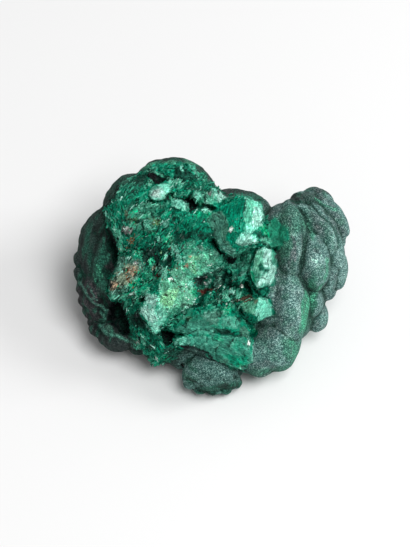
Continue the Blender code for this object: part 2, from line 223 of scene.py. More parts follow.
# Rounded lobes: centre (across, up, out), half sizes, and a turn in the face's plane.
lobes = {
    "coreLeft": ((-9, 1, -11.5), (22, 20.5, 12.5), 0),
    "coreRight": ((13, -1, -11), (17, 18.5, 13), 0),
    "rightFold": ((20, 8.5, -2.5), (4.4, 11, 8), 0),
    "rightFoldTop": ((17.6, 12.6, -3.5), (4.8, 5.8, 6.5), 0),
    "rightMid": ((15.5, -5, -4), (5.5, 11, 8), 0),
    "rightBig": ((19.2, -7, -3), (5.4, 10.5, 8.5), 0),
    "rightCrest": ((24.6, 13.4, -3.5), (2.0, 7.2, 5), 26),
    "rightArch": ((28.2, 10, -5), (4.2, 9.4, 6.5), 25),
    "rightBulge": ((25.6, 3.9, -2.8), (4.7, 7.9, 7.5), 4),
    "rightSeam": ((23.6, 9.4, -3.6), (1.6, 4.6, 5.6), 8),
    "rightFlank": ((29, 2.6, -6), (3.2, 7.8, 5.5), 0),
    "rightJoin": ((25.6, -5.6, -6), (2.8, 5, 5), 0),
    "knobLeft": ((24.0, 18.3, -8), (4.2, 2.9, 5), -12),
    "knobCap": ((27.2, 19.6, -10.5), (4.2, 2.4, 4), -20),
    "knobBand": ((30.2, 15.2, -9), (6.8, 3.3, 5), -48),
    "knobSide": ((32.2, 12.4, -10), (2.8, 4.4, 4.5), 0),
    "knobFoot": ((32.3, 9.2, -11), (2.0, 2.4, 3), 0),
    "sideMiddle": ((31.8, 1.6, -9), (3.0, 5.1, 5.5), 0),
    "sideSmall": ((29.2, -4, -9), (2.5, 2.3, 3.5), 0),
    "sideLow": ((26.5, -9.9, -11), (3.2, 4.3, 5), 0),
    "rightLow": ((16.2, -16.7, -4.5), (6.0, 7.5, 8), 0),
    "rightLowFront": ((12.0, -19.9, -4.8), (5.7, 5.5, 7.5), 0),
    "rightLowFill": ((14.2, -18.4, -4.6), (5.2, 6, 7.6), 0),
    "rightLowRim": ((20.2, -15.8, -5.5), (2.4, 4.8, 6), 0),
    "rightLowBump": ((19.8, -19.2, -6.5), (1.9, 2, 4), 0),
    "backRim": ((7.4, 13.9, -7), (9.9, 7.8, 8), -19),
    "foot": ((0.0, -23.6, -3.3), (7.0, 5.2, 7), 0),
    "footRight": ((4.6, -25.8, -4), (2.9, 2.9, 4), 20),
    "footLeft": ((-4.7, -25.2, -4), (2.6, 3.3, 4), 15),
    "footRoot": ((-6.4, -19.0, -4.5), (4.2, 3.2, 5), -20),
    "footEdgeA": ((-5.4, -27.2, -4.6), (1.7, 1.5, 2.6), 0),
    "footEdgeB": ((-2.6, -28.3, -4.8), (1.9, 1.4, 2.6), 10),
    "footEdgeC": ((0.8, -28.7, -5), (2.1, 1.3, 2.6), -5),
    "footEdgeD": ((3.8, -28.5, -5), (1.5, 1.4, 2.4), 0),
    "footEdgeE": ((6.3, -26.6, -4.8), (1.6, 1.8, 2.6), 30),
    "footEdgeF": ((6.6, -23.6, -4.2), (1.5, 1.9, 2.6), 0),
    "shellTop": ((-9.9, 17.4, -10), (12.2, 12.7, 11), 0),
    "shellTopLeft": ((-19.2, 16.5, -10), (8.2, 9.7, 10), 0),
    "shellLeft": ((-23.2, 5.4, -11), (10.7, 13.2, 11), 0),
    "leftBeadHigh": ((-33.3, 4.2, -10), (1.7, 2.1, 3), 0),
    "leftBeadLow": ((-33.3, 0.6, -10), (1.6, 2.1, 3), 0),
    "leftRoll": ((-28, -3.6, -10), (5.4, 6.2, 9), 0),
    "leftRollLow": ((-27.4, -7.6, -12), (5.0, 4.8, 8), 0),
    "leftEdgeA": ((-32.7, -3.0, -10), (1.6, 2.0, 3), 0),
    "leftEdgeB": ((-32.0, -6.2, -10), (1.7, 1.7, 3), 0),
    "leftEdgeC": ((-31.0, -9.0, -11), (1.7, 1.8, 3), 20),
    "leftEdgeD": ((-29.4, -11.2, -11), (1.8, 1.5, 3), 30),
    "leftRidge": ((-27.4, 4.8, -3.4), (2.0, 7.2, 3.4), -14),
    "leftRidgeLow": ((-26.0, -3.6, -2.6), (1.7, 5.6, 3), 22),
    "leftFoot": ((-23.8, -15.2, -9.5), (5.0, 3.7, 7), -14),
    "leftFootEnd": ((-28.4, -13.8, -10), (2.5, 1.9, 4), -38),
    "leftFootRim": ((-22.6, -14.2, -5.2), (4.2, 1.5, 3), -22),
    "lowBead": ((-18.5, -18.3, -9), (2.1, 1.8, 3), 0),
}

# Broken blocks: the corners of the front, and how deep the root goes.
blocks = {
    "chunk": ([(3.8, 19.2, 4), (6.2, 20, 5), (9, 19.8, 6), (8.2, 17.8, 8.5), (12.4, 17.8, 3),
        (13.2, 15, 3), (12.8, 12.4, 4), (8, 13.5, 9.5), (5, 11.8, 9), (6.2, 8.2, 8.5), (9.8, 9.5, 7.5),
        (12.2, 9, 5.5), (11.8, 7.8, 5), (0.5, 16, 3.5), (0.5, 11, 4), (1.5, 8.5, 4.5), (2.8, 6, 4),
        (4.8, 5, 4), (6.2, 6.4, 5.5), (2.8, 17.5, 5)], 7),
    "greenTip": ([(12.6, 13, 2), (14.6, 9, 2.5), (14.6, 7.4, 2.5), (12.4, 7.2, 3), (12, 10, 4.5)], 6),
    "greenSide": ([(13.6, 13.6, 1), (18.2, 13.6, 2), (18.8, 8, 4), (15.2, 7, 4), (13, 9, 3)], 6),
    "paleHigh": ([(12.8, 6.6, 5), (15, 6.8, 4), (16.4, 5.4, 2.5), (16.4, 2, 2.5), (15.4, -2.2, 2.8),
        (13.4, -2.4, 4.4), (11.4, -3.2, 4.6), (10.6, -2, 4.6), (9.6, 1.2, 4.4), (10.6, 3.8, 4.8),
        (11.2, 6.2, 4.6), (12.8, 2.4, 6.4), (12.2, -1, 5.8), (14.8, 2.2, 5.8)], 7),
    "paleLow": ([(12, -5.4, 5.5), (13.4, -5.8, 4.6), (15, -8, 3.6), (15.2, -9.8, 3.2), (13.4, -10.4, 4),
        (12, -11.2, 5), (9.8, -11.2, 3.6), (8.2, -10.2, 3.4), (7.2, -7.4, 3), (9, -6.2, 3.6),
        (10.9, -9, 6.8)], 7),
    "betweenPale": ([(12, -3, 2), (15, -3, 2), (15.4, -6, 2.2), (12.6, -6, 2.6), (11.4, -4.4, 2.4)], 6),
    "valleyFin": ([(5, -1.8, 2), (6.2, 0.2, 2.6), (8.8, 1.2, 3), (9, 0, 3), (8.2, -1.4, 3.4),
        (6.2, -2.4, 3)], 6),
    "valleyLeaf": ([(1, -0.8, 2), (2, -0.8, 2.6), (2.2, -2.8, 3), (1.2, -2.4, 3)], 5),
    "valleyStep": ([(-1.6, -4.8, 2.6), (0.5, -3.8, 3), (2, -4.4, 3), (2, -6, 3.4), (0.2, -6.8, 3.4),
        (-2, -6, 2.6)], 6),
    "valleyLow": ([(2.8, -3.4, 2), (6.4, -3.2, 2), (7.4, -5.4, 2.6), (4, -6.8, 3.4), (2.4, -6, 2.6)], 6),
    "plateau": ([(-9, 8, 5), (-5.2, 9, 5.5), (-1, 8.2, 5.5), (1.5, 5.5, 6), (2.8, 2.5, 5), (-0.2, 1.5, 6),
        (-2.2, 0.2, 6.5), (-4.5, -0.8, 7), (-7.8, 3.5, 6.5), (-5.8, 5, 7.2)], 8),
    "slab": ([(-9.8, 3, 5.6), (-6.2, 3.5, 7), (-4, -0.2, 7), (-4.2, -1.8, 6.5), (-2.8, -4, 5.5),
        (-3.8, -6.5, 5.5), (-6.2, -7.5, 6), (-9.8, -10, 6), (-12, -10, 6.5), (-15.6, -6.4, 6),
        (-16, -4, 5.5), (-12.8, -1.8, 6.5), (-10.2, -4.8, 8.2), (-6.5, -1, 7.8)], 8),
    "slabBridge": ([(-9.5, 3.4, 5.8), (-6.4, 5, 6.8), (-3.6, 1.2, 6.6), (-4.4, -2.4, 6.8),
        (-8.4, -2.6, 7.6), (-10.4, -0.4, 6.4)], 7),
    "slabJoin": ([(-13.4, -3.2, 7.2), (-9.0, -6.0, 7.8), (-9.8, -10.4, 6.6), (-12.4, -11.8, 7.0),
        (-15.8, -7.4, 7.4), (-12.6, -7.4, 8.5)], 7),
    "slabEnd": ([(-15.8, -5.5, 6.8), (-12.8, -5.5, 7.8), (-12, -10.5, 7.2), (-11.5, -12.5, 6.2),
        (-13.8, -14.5, 5.5), (-15.8, -12.5, 5), (-17.8, -9, 4.5), (-17, -7.2, 5.5), (-14.5, -9, 8.4)], 7),
    "tan": ([(-25.5, -1.8, 1.5), (-24.5, -0.8, 2.5), (-23.2, 4, 2), (-21.8, 5.2, 3), (-18.2, 6.5, 4),
        (-16.8, 4.5, 4), (-16.5, 1, 4.5), (-17.8, -2, 5), (-19.2, -3.8, 4), (-20.2, -5.5, 2.5),
        (-24.8, -5.5, 1.5), (-25.5, -4.8, 1), (-23.2, -1.5, 4.5), (-19.2, 2, 5.8)], 8),
    "tanSide": ([(-17.2, 1, 4.5), (-15.2, 1.5, 4.5), (-14, -1, 4.5), (-15.2, -3.5, 5), (-17.8, -5.5, 4),
        (-19.5, -4.8, 3), (-18.5, -2, 5.2)], 7),
    "pocket": ([(-17.4, 7.6, 2.4), (-13, 8.6, 3.6), (-9, 8, 3.6), (-9.4, 3.4, 3.2), (-12, 0.4, 3.4),
        (-14.6, 0.6, 3), (-16.6, 3.6, 2.6), (-13.4, 5, 4.4)], 6),
    "edge": ([(-26.8, 16.2, -1.5), (-25.2, 18, 0), (-22.2, 18, 2), (-20.8, 15.5, 3.5), (-20.8, 9, 3.5),
        (-21.2, 6, 3), (-23, 6.2, 1.5), (-24.5, 10, 0.8), (-25.8, 13.5, -0.4)], 8),
    "roughLeft": ([(-21.2, 17.5, 2.5), (-16.5, 18.2, 3.5), (-11.5, 17.2, 4), (-9.8, 12.8, 4.5),
        (-10.2, 8, 4), (-15.2, 6.5, 3.5), (-20.2, 6.5, 3), (-21.8, 11.5, 3.5), (-15.2, 12.8, 5.5),
        (-19, 9.5, 5)], 8),
    "roughMid": ([(-11.5, 17.2, 4), (-6.5, 16.5, 4), (0.5, 16, 3.5), (0.8, 9.5, 4), (-2.8, 8.2, 4.5),
        (-9, 8.2, 4), (-10.8, 11.5, 4), (-5.2, 12.8, 5.5)], 8),
    "mintLeft": ([(-15.5, 20.8, 2.5), (-14.2, 22.2, 2.5), (-10.2, 23.8, 2), (-7.8, 23.8, 2),
        (-9.8, 21.5, 4.5), (-11.5, 20, 5), (-12.5, 18.8, 4.5), (-15, 19.2, 3.5), (-13.2, 20.8, 5.4)], 6),
    "mintMid": ([(-9.8, 19, 4), (-7.8, 19.8, 4), (-5.8, 18, 4), (-5.2, 16.2, 3.5), (-6.8, 15.8, 4.5),
        (-9, 17, 5.4), (-10.8, 17.5, 4)], 6),
    "mintRight": ([(-4.5, 20.2, 2.5), (-2.8, 21.2, 2.5), (0.2, 22.6, 1.5), (2, 21.3, 1.5), (3.7, 19.5, 2),
        (3.2, 18, 3), (1.8, 17, 3.5), (-1.5, 18.2, 4.5), (-3.8, 18.8, 4), (-0.2, 20, 5)], 6),
    "upperBand": ([(-9.8, 23.5, 1.5), (-2.8, 23.2, 1.2), (-1.8, 21.5, 2), (-4.8, 20, 2.5), (-7.8, 19.8, 3),
        (-9.8, 21, 3)], 6),
    "roughCorner": ([(-24.8, 19, -1), (-22.8, 23, -1.4), (-19, 24.6, -1), (-15.2, 23.5, 0), (-15.2, 19, 2),
        (-20.2, 17.5, 2.5), (-23.2, 17.5, 1.5), (-19.5, 21, 2.8)], 7),
    "ledgeHigh": ([(-11.5, -12.5, 3), (-8.2, -10.5, 3.5), (-4.8, -8, 3.5), (0.2, -7, 3), (5.2, -7, 3),
        (7.2, -9.5, 3), (9.8, -13.5, 3.5), (8.8, -15, 4), (1, -15, 4.5), (-5.2, -14.5, 4.5),
        (-10.2, -13.5, 3.5), (-1.5, -11, 5.2), (4.2, -10.5, 4.8)], 8),
    "ledgeLow": ([(-9, -16, 4), (-7.2, -15, 4.8), (-2.8, -13.5, 5.2), (0.2, -15, 5.5), (4.8, -15.5, 5.5),
        (9.2, -15.5, 4.5), (10.5, -18, 4), (9.8, -21, 4), (7.5, -23.2, 4), (4.2, -22.2, 4),
        (0.8, -20.5, 4), (-2.2, -18.5, 4), (-5.2, -17.2, 4), (-8.5, -17.2, 3.5), (6, -18.5, 6.5)], 6),
    "holeRim": ([(-22.6, -5.8, 1), (-20.2, -5.4, 2), (-19.4, -7.6, 1.6), (-20.4, -9.4, 0.6),
        (-21.6, -9, 0.4), (-22.2, -7.4, 0.6)], 5),
    "holeStep": ([(-21.6, -10.4, -1.4), (-20, -10.2, 0), (-19.6, -12.8, 0), (-21.2, -13.4, -1.4)], 4),
    "lowLeft": ([(-20.5, -6.8, 0), (-17.8, -6, 1.5), (-16, -9, 1), (-14.8, -13, 1), (-12.8, -15, 1),
        (-13.2, -18, 0.5), (-17.2, -18.5, -1.5), (-20, -17.8, -3), (-20.8, -14.8, -3), (-20.8, -10.5, -2),
        (-17.8, -12.2, 2)], 8),
    "lowMid": ([(-15.2, -15.5, 0.5), (-11, -15.5, 1.5), (-8.2, -17.5, 1.5), (-5.8, -18.5, 1),
        (-5.2, -20.5, -1), (-8.2, -22.5, -3.5), (-11.5, -21.2, -2.5), (-15.2, -21, -3.5),
        (-16.8, -19.5, -3), (-10.8, -19, 1.5)], 8),
    "lowTip": ([(-15.8, -19, -1.5), (-11.5, -18.5, -1), (-11.2, -21, -2), (-13.8, -22.8, -4),
        (-15, -21.5, -4)], 4),
    "lowSpur": ([(-11.5, -21.4, -4), (-9, -20.5, -3), (-6.6, -23.6, -5.5), (-8.6, -23.3, -6.5)], 4),
}

# Holes: centre, half sizes and turn, as for the lobes.
pits = {
    "valleyLeft": ((-1.5, -1.8, 2), (2.6, 1.7, 3.6), 20),
    "valleyMid": ((2.2, 0.4, 1.5), (3.2, 1.5, 3.8), 0),
    "valleyTop": ((6.2, 3.6, 2), (3.6, 2.0, 3.2), 30),
    "valleyRight": ((9.0, -2.8, 1.5), (1.3, 2.6, 4.5), 10),
    "underFin": ((5.0, -2.9, 2), (1.8, 0.9, 3.5), 0),
    "topHole": ((-4.9, 18.3, 3), (1.4, 2.2, 5), 20),
    "fibreHole": ((-13.2, 24.7, 0), (3.4, 1.5, 3.4), -12),
    "lowHole": ((-11, -15.7, 2.5), (1.6, 1.9, 5), 0),
    "leftHoleHigh": ((-23.4, -9.0, -2), (2.3, 2.6, 6), -20),
    "leftHoleLow": ((-22.4, -12.2, -2.4), (2.4, 3.0, 6), 14),
    "grooveHigh": ((-26.2, 11, 0), (0.9, 3.0, 3), 20),
    "grooveMid": ((-25.0, 7.4, -0.4), (1.4, 2.6, 4), 26),
    "grooveLow": ((-23.9, 4.2, -0.6), (1.2, 2.4, 3.6), 6),
    "smallA": ((-10.4, 5.0, 4.5), (0.9, 1.6, 3), 20),
    "smallB": ((-13.2, 2.2, 4.5), (0.9, 1.3, 3), 0),
    "smallC": ((-13.6, -0.4, 4.5), (0.8, 1.8, 3), -20),
}

# Lobes in a spiral over the back and the underside, on an inner body of these half sizes.
backLobes = {
    "centre": (-1, 1, -12),
    "half": (24, 15.5, 11.5),
    "steps": 110,
    "limit": -0.28,  # steps that look further towards the broken side than this are left out
    "sizes": (4.2, 7.2),
    "sideShare": 0.62,  # how large they are at the sides, as a share of those furthest back
    "lengths": (0.8, 1.15),  # the other two half sizes, as shares of the first
    "depths": (0.8, 1.0),
    "turns": (-40, 40),
    "seed": 11,
}

skin = {
    "step": 0.28,  # grid of the skin drawn over the joined lobes
    "breakStep": 0.21,  # the same for the broken blocks
    "faceCount": 190000,  # triangles that each of the two keeps
    "blockSpread": 1.12,  # how much wider a block is at its root than at its front
    "largeLobe": 9,  # lobes with a half size above this start from the finer ball
    "ballDetail": (4, 5),  # how often the balls of small and of large lobes are divided
    "groundBlock": 0.2,  # metres across the block under the ground that cuts the resting flats
    "mendRounds": 6,
}


def addLobe(centre, halfSizes, turn, name):
    detail = skin["ballDetail"][max(halfSizes) > skin["largeLobe"]]
    bpy.ops.mesh.primitive_ico_sphere_add(
        subdivisions=detail, radius=1, location=onFace(*centre), rotation=faceTurn(turn).to_euler(),
        scale=[size * layout["mm"] for size in halfSizes])
    bpy.context.object.name = name
    return bpy.context.object


def addBlock(corners, depth, name):
    middle = sum((Vector(corner) for corner in corners), Vector()) / len(corners)
    points = []
    for across, up, out in corners:
        rootAcross = middle.x + (across - middle.x) * skin["blockSpread"]
        rootUp = middle.y + (up - middle.y) * skin["blockSpread"]
        points += [onFace(across, up, out), onFace(rootAcross, rootUp, min(out, middle.z) - depth)]
    block = meshFrom(name, points, [])
    editAll(block, bpy.ops.mesh.convex_hull)  # flat faces between the corners
    return block


def addBackLobes():
    dice = random.Random(backLobes["seed"])
    goldenTurn = math.pi * (3 - math.sqrt(5))
    sideShare = backLobes["sideShare"]
    made = []
    for step in range(backLobes["steps"]):
        out = 1 - 2 * (step + 0.5) / backLobes["steps"]
        if out > backLobes["limit"]:
            continue
        ring = math.sqrt(1 - out * out)
        towards = (ring * math.cos(step * goldenTurn), ring * math.sin(step * goldenTurn), out)
        centre = [m + h * t for m, h, t in zip(backLobes["centre"], backLobes["half"], towards)]
        size = dice.uniform(*backLobes["sizes"]) * (sideShare + (1 - sideShare) * abs(out))
        length = size * dice.uniform(*backLobes["lengths"])
        depth = size * dice.uniform(*backLobes["depths"])
        made.append(addLobe(centre, (size, length, depth), dice.uniform(*backLobes["turns"]), "backLobe"))
    return made


def drawSkin(item, step):
    drawn = item.modifiers.new("skin", "REMESH")
    drawn.mode = "VOXEL"
    drawn.voxel_size = step * layout["mm"]
    applyAll(item)


def cutWith(item, cutter):
    cut = item.modifiers.new("cut", "BOOLEAN")
    cut.operation = "DIFFERENCE"
    cut.solver = "MANIFOLD"
    cut.object = cutter
    applyAll(item)
    bpy.data.objects.remove(cutter)


def makePiece(name, forms, step):
    made = joinAll(forms, name)
    drawSkin(made, step)
    holes = joinAll([addLobe(*form, label) for label, form in pits.items()], "holes")
    drawSkin(holes, skin["step"])
    cutWith(made, holes)
    bpy.ops.object.select_all(action="DESELECT")
    bpy.ops.mesh.primitive_cube_add(size=skin["groundBlock"], location=(0, 0, -skin["groundBlock"] / 2))
    cutWith(made, bpy.context.object)  # the flats that the stone rests on
    return made


stoneForms = [addLobe(*form, name) for name, form in lobes.items()] + addBackLobes()
stone = makePiece("stone", stoneForms, skin["step"])
faceForms = [addBlock(*form, name) for name, form in blocks.items()]
brokenFace = makePiece("brokenFace", faceForms, skin["breakStep"])
print("stone: forms joined,", len(stone.data.polygons), "and", len(brokenFace.data.polygons), "faces")


# The edge of the broken face, as (across, up).
brokenEdge = [
    (-26.8, 16.2), (-25.2, 19), (-23.2, 22.8), (-19, 25.2), (-15.2, 27.8), (-11.5, 29), (-7.8, 29),
    (-4, 28.2), (-0.2, 24), (2, 22), (3.8, 20), (6.5, 20.4), (9.5, 20), (12.8, 18), (13.6, 15.5),
    (14.2, 13.8), (16, 14.5), (18.5, 12), (19.2, 9), (18.2, 6.8), (16.5, 6), (16.5, 2.8), (15.8, -1),
    (15, -2.8), (14.8, -5.5), (15.8, -9), (13.2, -10.8), (11.2, -11.5), (11.5, -14.2), (10.8, -17.2),
    (10.2, -20.5), (9.2, -23), (7.2, -23.5), (3.8, -22.5), (0.2, -20.8), (-2.8, -18.8), (-5.2, -17.8),
    (-7.2, -19), (-8.8, -21), (-11.2, -21.5), (-13.8, -23), (-15.8, -21), (-16.8, -19), (-19.5, -17.5),
    (-20.8, -15), (-23.2, -14.2), (-25.8, -11.5), (-25.8, -5.2), (-25.8, -1.5), (-24.2, 1), (-23.5, 4.5),
    (-23.2, 6.5), (-24.8, 11), (-26.2, 14.5),
]

relief = {
    "edgeNoise": ((1.6, 0.7, 90), (0.6, 0.4, 91)),  # size, reach and seed of the noise along that edge
    "edgeRange": (-0.3, 0.5),  # where the broken face begins and is complete, in millimetres inside its edge
    "facingRange": (-0.35, 0.0),  # the same by how far a surface looks to the front
    "depthRange": (-9, -6),  # the same by its depth
    # millimetres across, tilt, how far it stands in or out, and how flat it is, from the largest facets down
    "facets": ((3.4, 0.3, 0.45, 0.85), (1.7, 0.4, 0.35, 0.8), (0.85, 0.5, 0.16, 0.6)),
    "facetReach": 0.9,  # no point moves further than this
    "facetSeed": 40,
    "skinSwell": ((3.2, 0.3), (1.4, 0.12)),  # size and height of the slow swelling of the skin
    "swellSeed": 90,
    "knobSeed": 110,
    "knobLevel": 0.3,  # where a knob passes the skin's own height, as a squared share of its size
    "lineReach": 1.8,  # how far from a line the skin is pressed in, in half widths
    "flatRange": (0.2, 2.0),  # heights over the ground where the relief begins and is complete
    "leastShare": 0.01,  # points with a smaller share of a form are left alone
}

# Where the skin is knobbly: place, half sizes, turn, size of the knobs and their height.
knobbly = [
    ((-30, -1), (10.5, 19), 0, 2.6, 0.62),
    ((-24, 12), (6, 11), 0, 3.4, 0.5),
    ((-24, -15), (8, 5.6), 0, 2.2, 0.55),
    ((0.5, -27), (9, 3.4), 0, 1.5, 0.4),
    ((-6.5, -20.5), (4, 3.4), 0, 1.6, 0.35),
    ((-8, 30), (16, 5), 0, 2.4, 0.34),
    ((7, 20), (9, 4.2), -20, 2.2, 0.4),
    ((27, 21), (7, 4.4), -30, 2.4, 0.55),
    ((28, 0), (12, 32), 0, 4.2, 0.12),
    ((15, -20), (12, 8), 0, 3.2, 0.2),
]

# Lines on the skin: tone, strength, half width, depth (seams stand out and have one below zero), and corners.
# Shade and black lines are painted shade in the creases that they press in; dull seams are painted
# highlights.
skinLines = [
    # painted shade in the creases between the velvet lobes
    ("shade", 0.75, 0.45, 0.35, [(20, 18.9), (21.6, 18.4), (24.6, 18.4), (26, 17), (27.8, 15),
        (29.2, 13.7), (30.4, 12.6), (31.4, 11), (31.9, 9), (32, 7.4)]),
    ("shade", 0.65, 0.36, 0.25, [(21.8, 17), (23, 15.6), (23.8, 14.5), (24.6, 12.8), (25.3, 11.5),
        (26.2, 10.6)]),
    ("shade", 0.6, 0.34, 0.15, [(21, 16.6), (22.2, 14.6), (22.7, 12.4), (22.7, 11), (23.2, 9.4),
        (23.3, 6.4), (23, 3.6), (22.4, 1.4), (21.9, 0), (22.6, -1.6), (23.6, -3), (24.8, -3.6),
        (26.4, -3.3), (28, -2.2)]),
    ("shade", 0.5, 0.36, 0.15, [(31.8, 7), (30.6, 5.2), (29.8, 3), (29.5, 0), (29.2, -2.4), (29.6, -3.2)]),
    ("rim", 0.6, 0.5, 0, [(29, 4.4), (28.9, 1), (28.4, -1.2), (27.6, -2.4), (26.4, -4)]),
    ("rim", 0.9, 0.8, -0.1, [(25.6, -4.6), (24.4, -7.4), (23.7, -10), (22.8, -12.4), (22.2, -14)]),
    ("shade", 0.35, 0.3, 0.12, [(19.2, 9), (18.9, 5.6), (19.1, 2.6), (18.6, -0.6), (18.2, -4),
        (18.8, -7.6)]),
    ("shade", 0.35, 0.3, 0.1, [(18.8, -10.3), (20.2, -10.9), (21.3, -13), (21.9, -14.6)]),
    ("shade", 0.35, 0.4, 0.1, [(14, -10.6), (16.4, -10), (18.8, -10.3)]),
    # painted highlight streaks on the knob's band and on a crest
    ("rim", 0.6, 0.4, 0, [(26.4, 19.4), (28, 18), (29.6, 17.3), (31.4, 16.6)]),
    ("mint", 0.5, 0.35, 0, [(24.1, 11.6), (24.9, 10.9), (25.6, 10)]),
    # painted highlights on the left rolls' dull seams and painted shade in their black creases
    ("dull", 0.42, 0.5, -0.25, [(-33.2, -1.6), (-32, -3.6), (-30.8, -5.3), (-29.4, -6.6), (-27.6, -7.6),
        (-26.3, -8.6)]),
    ("black", 0.7, 0.4, 0.3, [(-33, -2.6), (-31.8, -4.6), (-30.4, -6.3), (-28.6, -7.8), (-27.2, -8.8)]),
    ("dull", 0.3, 0.3, -0.2, [(-30.8, -2.6), (-29.8, -4.2), (-28.6, -5.8)]),
    ("rim", 0.8, 0.35, 0, [(-28.7, 2.8), (-27.8, 1.4), (-27, 0)]),
    ("rim", 0.6, 0.25, 0, [(-28.7, 1.4), (-28, 0), (-27.6, -1.2)]),
    ("rim", 0.5, 0.25, 0, [(-29.4, 0.6), (-28.9, -1), (-28, -2.6)]),
    ("dull", 0.45, 0.55, -0.25, [(-27.8, -9), (-26.8, -10.2), (-26.9, -11.8), (-27.6, -12.8),
        (-26.6, -14.2), (-25, -15), (-23.4, -15), (-21.8, -15.8), (-20.4, -16.4)]),
    ("black", 0.8, 0.45, 0.35, [(-30.2, -12), (-29, -12.8), (-28.2, -13.6), (-27, -15)]),
    # painted shadow in the groove beside the broken face's left edge
    ("black", 0.8, 0.4, 0.3, [(-26.4, 12.6), (-25.4, 10.6), (-24.6, 8), (-23.4, 5.4), (-22.8, 4.8)]),
]

# Where the facets differ: place (across, up), half sizes, turn, and the share of each facet size.
reliefSpots = [
    ((5, 13.5), (8, 7.5), 0, (0.35, 0.15, 0.15)),  # the fibrous chunk
    ((13.6, 2), (3.6, 5.5), 0, (0.3, 0.2, 0.1)),
    ((17, 10.4), (3, 4.4), 0, (0.2, 0.1, 0)),
    ((11.6, -8.2), (4.4, 3), 0, (0.3, 0.2, 0.1)),
    ((2, -16), (10.5, 7), -12, (0.4, 0.2, 0.08)),  # the satin ledge
    ((-12.6, 21), (4, 2.6), 20, (0.4, 0.2, 0.1)),
    ((-8, 17.6), (2.6, 2), 0, (0.4, 0.2, 0.1)),
    ((-8.5, -4), (9, 5), 45, (0.4, 0.5, 0.9)),  # the druse
    ((-14.5, -10), (3, 4), 20, (0.6, 0.3, 0.3)),
    ((-3.4, 4.6), (6, 4.4), 0, (0.5, 0.6, 0.9)),
]

# How soft an oval spot's edge is, as a share of its size: for tones and forms, and for crystals.
spotEdge = {"tones": 0.4, "crystals": 0.3}


def segmentDistance(across, up, start, end):
    (a0, u0), (a1, u1) = start, end
    length = (a1 - a0) ** 2 + (u1 - u0) ** 2
    along = np.clip(((across - a0) * (a1 - a0) + (up - u0) * (u1 - u0)) / length, 0, 1)
    return np.hypot(across - a0 - along * (a1 - a0), up - u0 - along * (u1 - u0))


def lineDistance(across, up, corners):  # distance to an open line
    nearest = np.full(len(across), np.inf)
    for start, end in zip(corners, corners[1:]):
        nearest = np.minimum(nearest, segmentDistance(across, up, start, end))
    return nearest


def outlineDistance(across, up, corners):  # distance to a closed outline, positive inside it
    inside = np.zeros(len(across), bool)
    for (a0, u0), (a1, u1) in zip(corners, corners[1:] + corners[:1]):
        if u0 != u1:
            inside ^= ((u0 > up) != (u1 > up)) & (across < (a1 - a0) * (up - u0) / (u1 - u0) + a0)
    nearest = lineDistance(across, up, corners + corners[:1])
    return np.where(inside, nearest, -nearest)


def spotShare(across, up, place, halfSizes, turn, soft=spotEdge["tones"]):  # 1 inside the spot, 0 outside
    along, beside = turned(across - place[0], up - place[1], turn)
    return 1 - smoothStep(np.hypot(along / halfSizes[0], beside / halfSizes[1]), 1 - soft / 2, 1 + soft / 2)


def brokenShare(points, facing):  # 1 on the broken face, 0 on the skin
    wander = sum(softNoise(points, size, seed) * reach for size, reach, seed in relief["edgeNoise"])
    share = smoothStep(outlineDistance(points[:, 0], points[:, 1], brokenEdge) + wander, *relief["edgeRange"])
    share *= smoothStep(facing, *relief["facingRange"])
    return share * smoothStep(points[:, 2], *relief["depthRange"])


def chisel(points, normals, shares, facets, seed):  # presses the surface into tilted flats
    size, tilt, level, flatness = facets
    labels = facetOf(points, normals, size, seed)
    count = np.bincount(labels)
    middles = np.stack([np.bincount(labels, points[:, k]) / count for k in range(3)], axis=1)
    outward = np.stack([np.bincount(labels, normals[:, k]) / count for k in range(3)], axis=1)
    dice = np.random.default_rng(seed)
    middles += outward * dice.uniform(-level, level, len(count))[:, None]
    outward += dice.uniform(-tilt, tilt, outward.shape)
    outward = unit(outward)
    away = ((points - middles[labels]) * outward[labels]).sum(axis=1)
    away = np.clip(away, -relief["facetReach"], relief["facetReach"])
    moved = points - outward[labels] * (away * shares * flatness)[:, None]
    # each facet also gets a number from -1 to 1 for its painted light and shade
    return moved, dice.uniform(-1, 1, len(count))[labels]


def facetShares(points):  # how much of each facet size there is at each point
    shares = np.ones((len(relief["facets"]), len(points)))
    for place, halfSizes, turn, spotShares in reliefSpots:
        share = spotShare(points[:, 0], points[:, 1], place, halfSizes, turn)
        shares += share * (np.array(spotShares)[:, None] - shares)
    return shares


def skinHeights(points, normals, broken, above):  # how far the skin's swelling, knobs and lines stand out
    swell = np.zeros(len(points))
    for k, (size, height) in enumerate(relief["skinSwell"]):
        swell += softNoise(points, size, relief["swellSeed"] + k) * height * (1 - broken) * above
    for k, (place, halfSizes, turn, size, height) in enumerate(knobbly):
        share = spotShare(points[:, 0], points[:, 1], place, halfSizes, turn) * (1 - broken) * above
        near = np.flatnonzero(share > relief["leastShare"])
        knobs = relief["knobLevel"] - nearestMiddle(points[near], size, relief["knobSeed"] + k)[0]
        swell[near] += knobs * height * share[near]
    for _, _, width, depth, line in skinLines:
        away = lineDistance(points[:, 0], points[:, 1], line)
        pressed = 1 - smoothStep(away, 0, width * relief["lineReach"])
        swell -= depth * pressed * (normals[:, 2] > 0) * (1 - broken)
    return swell


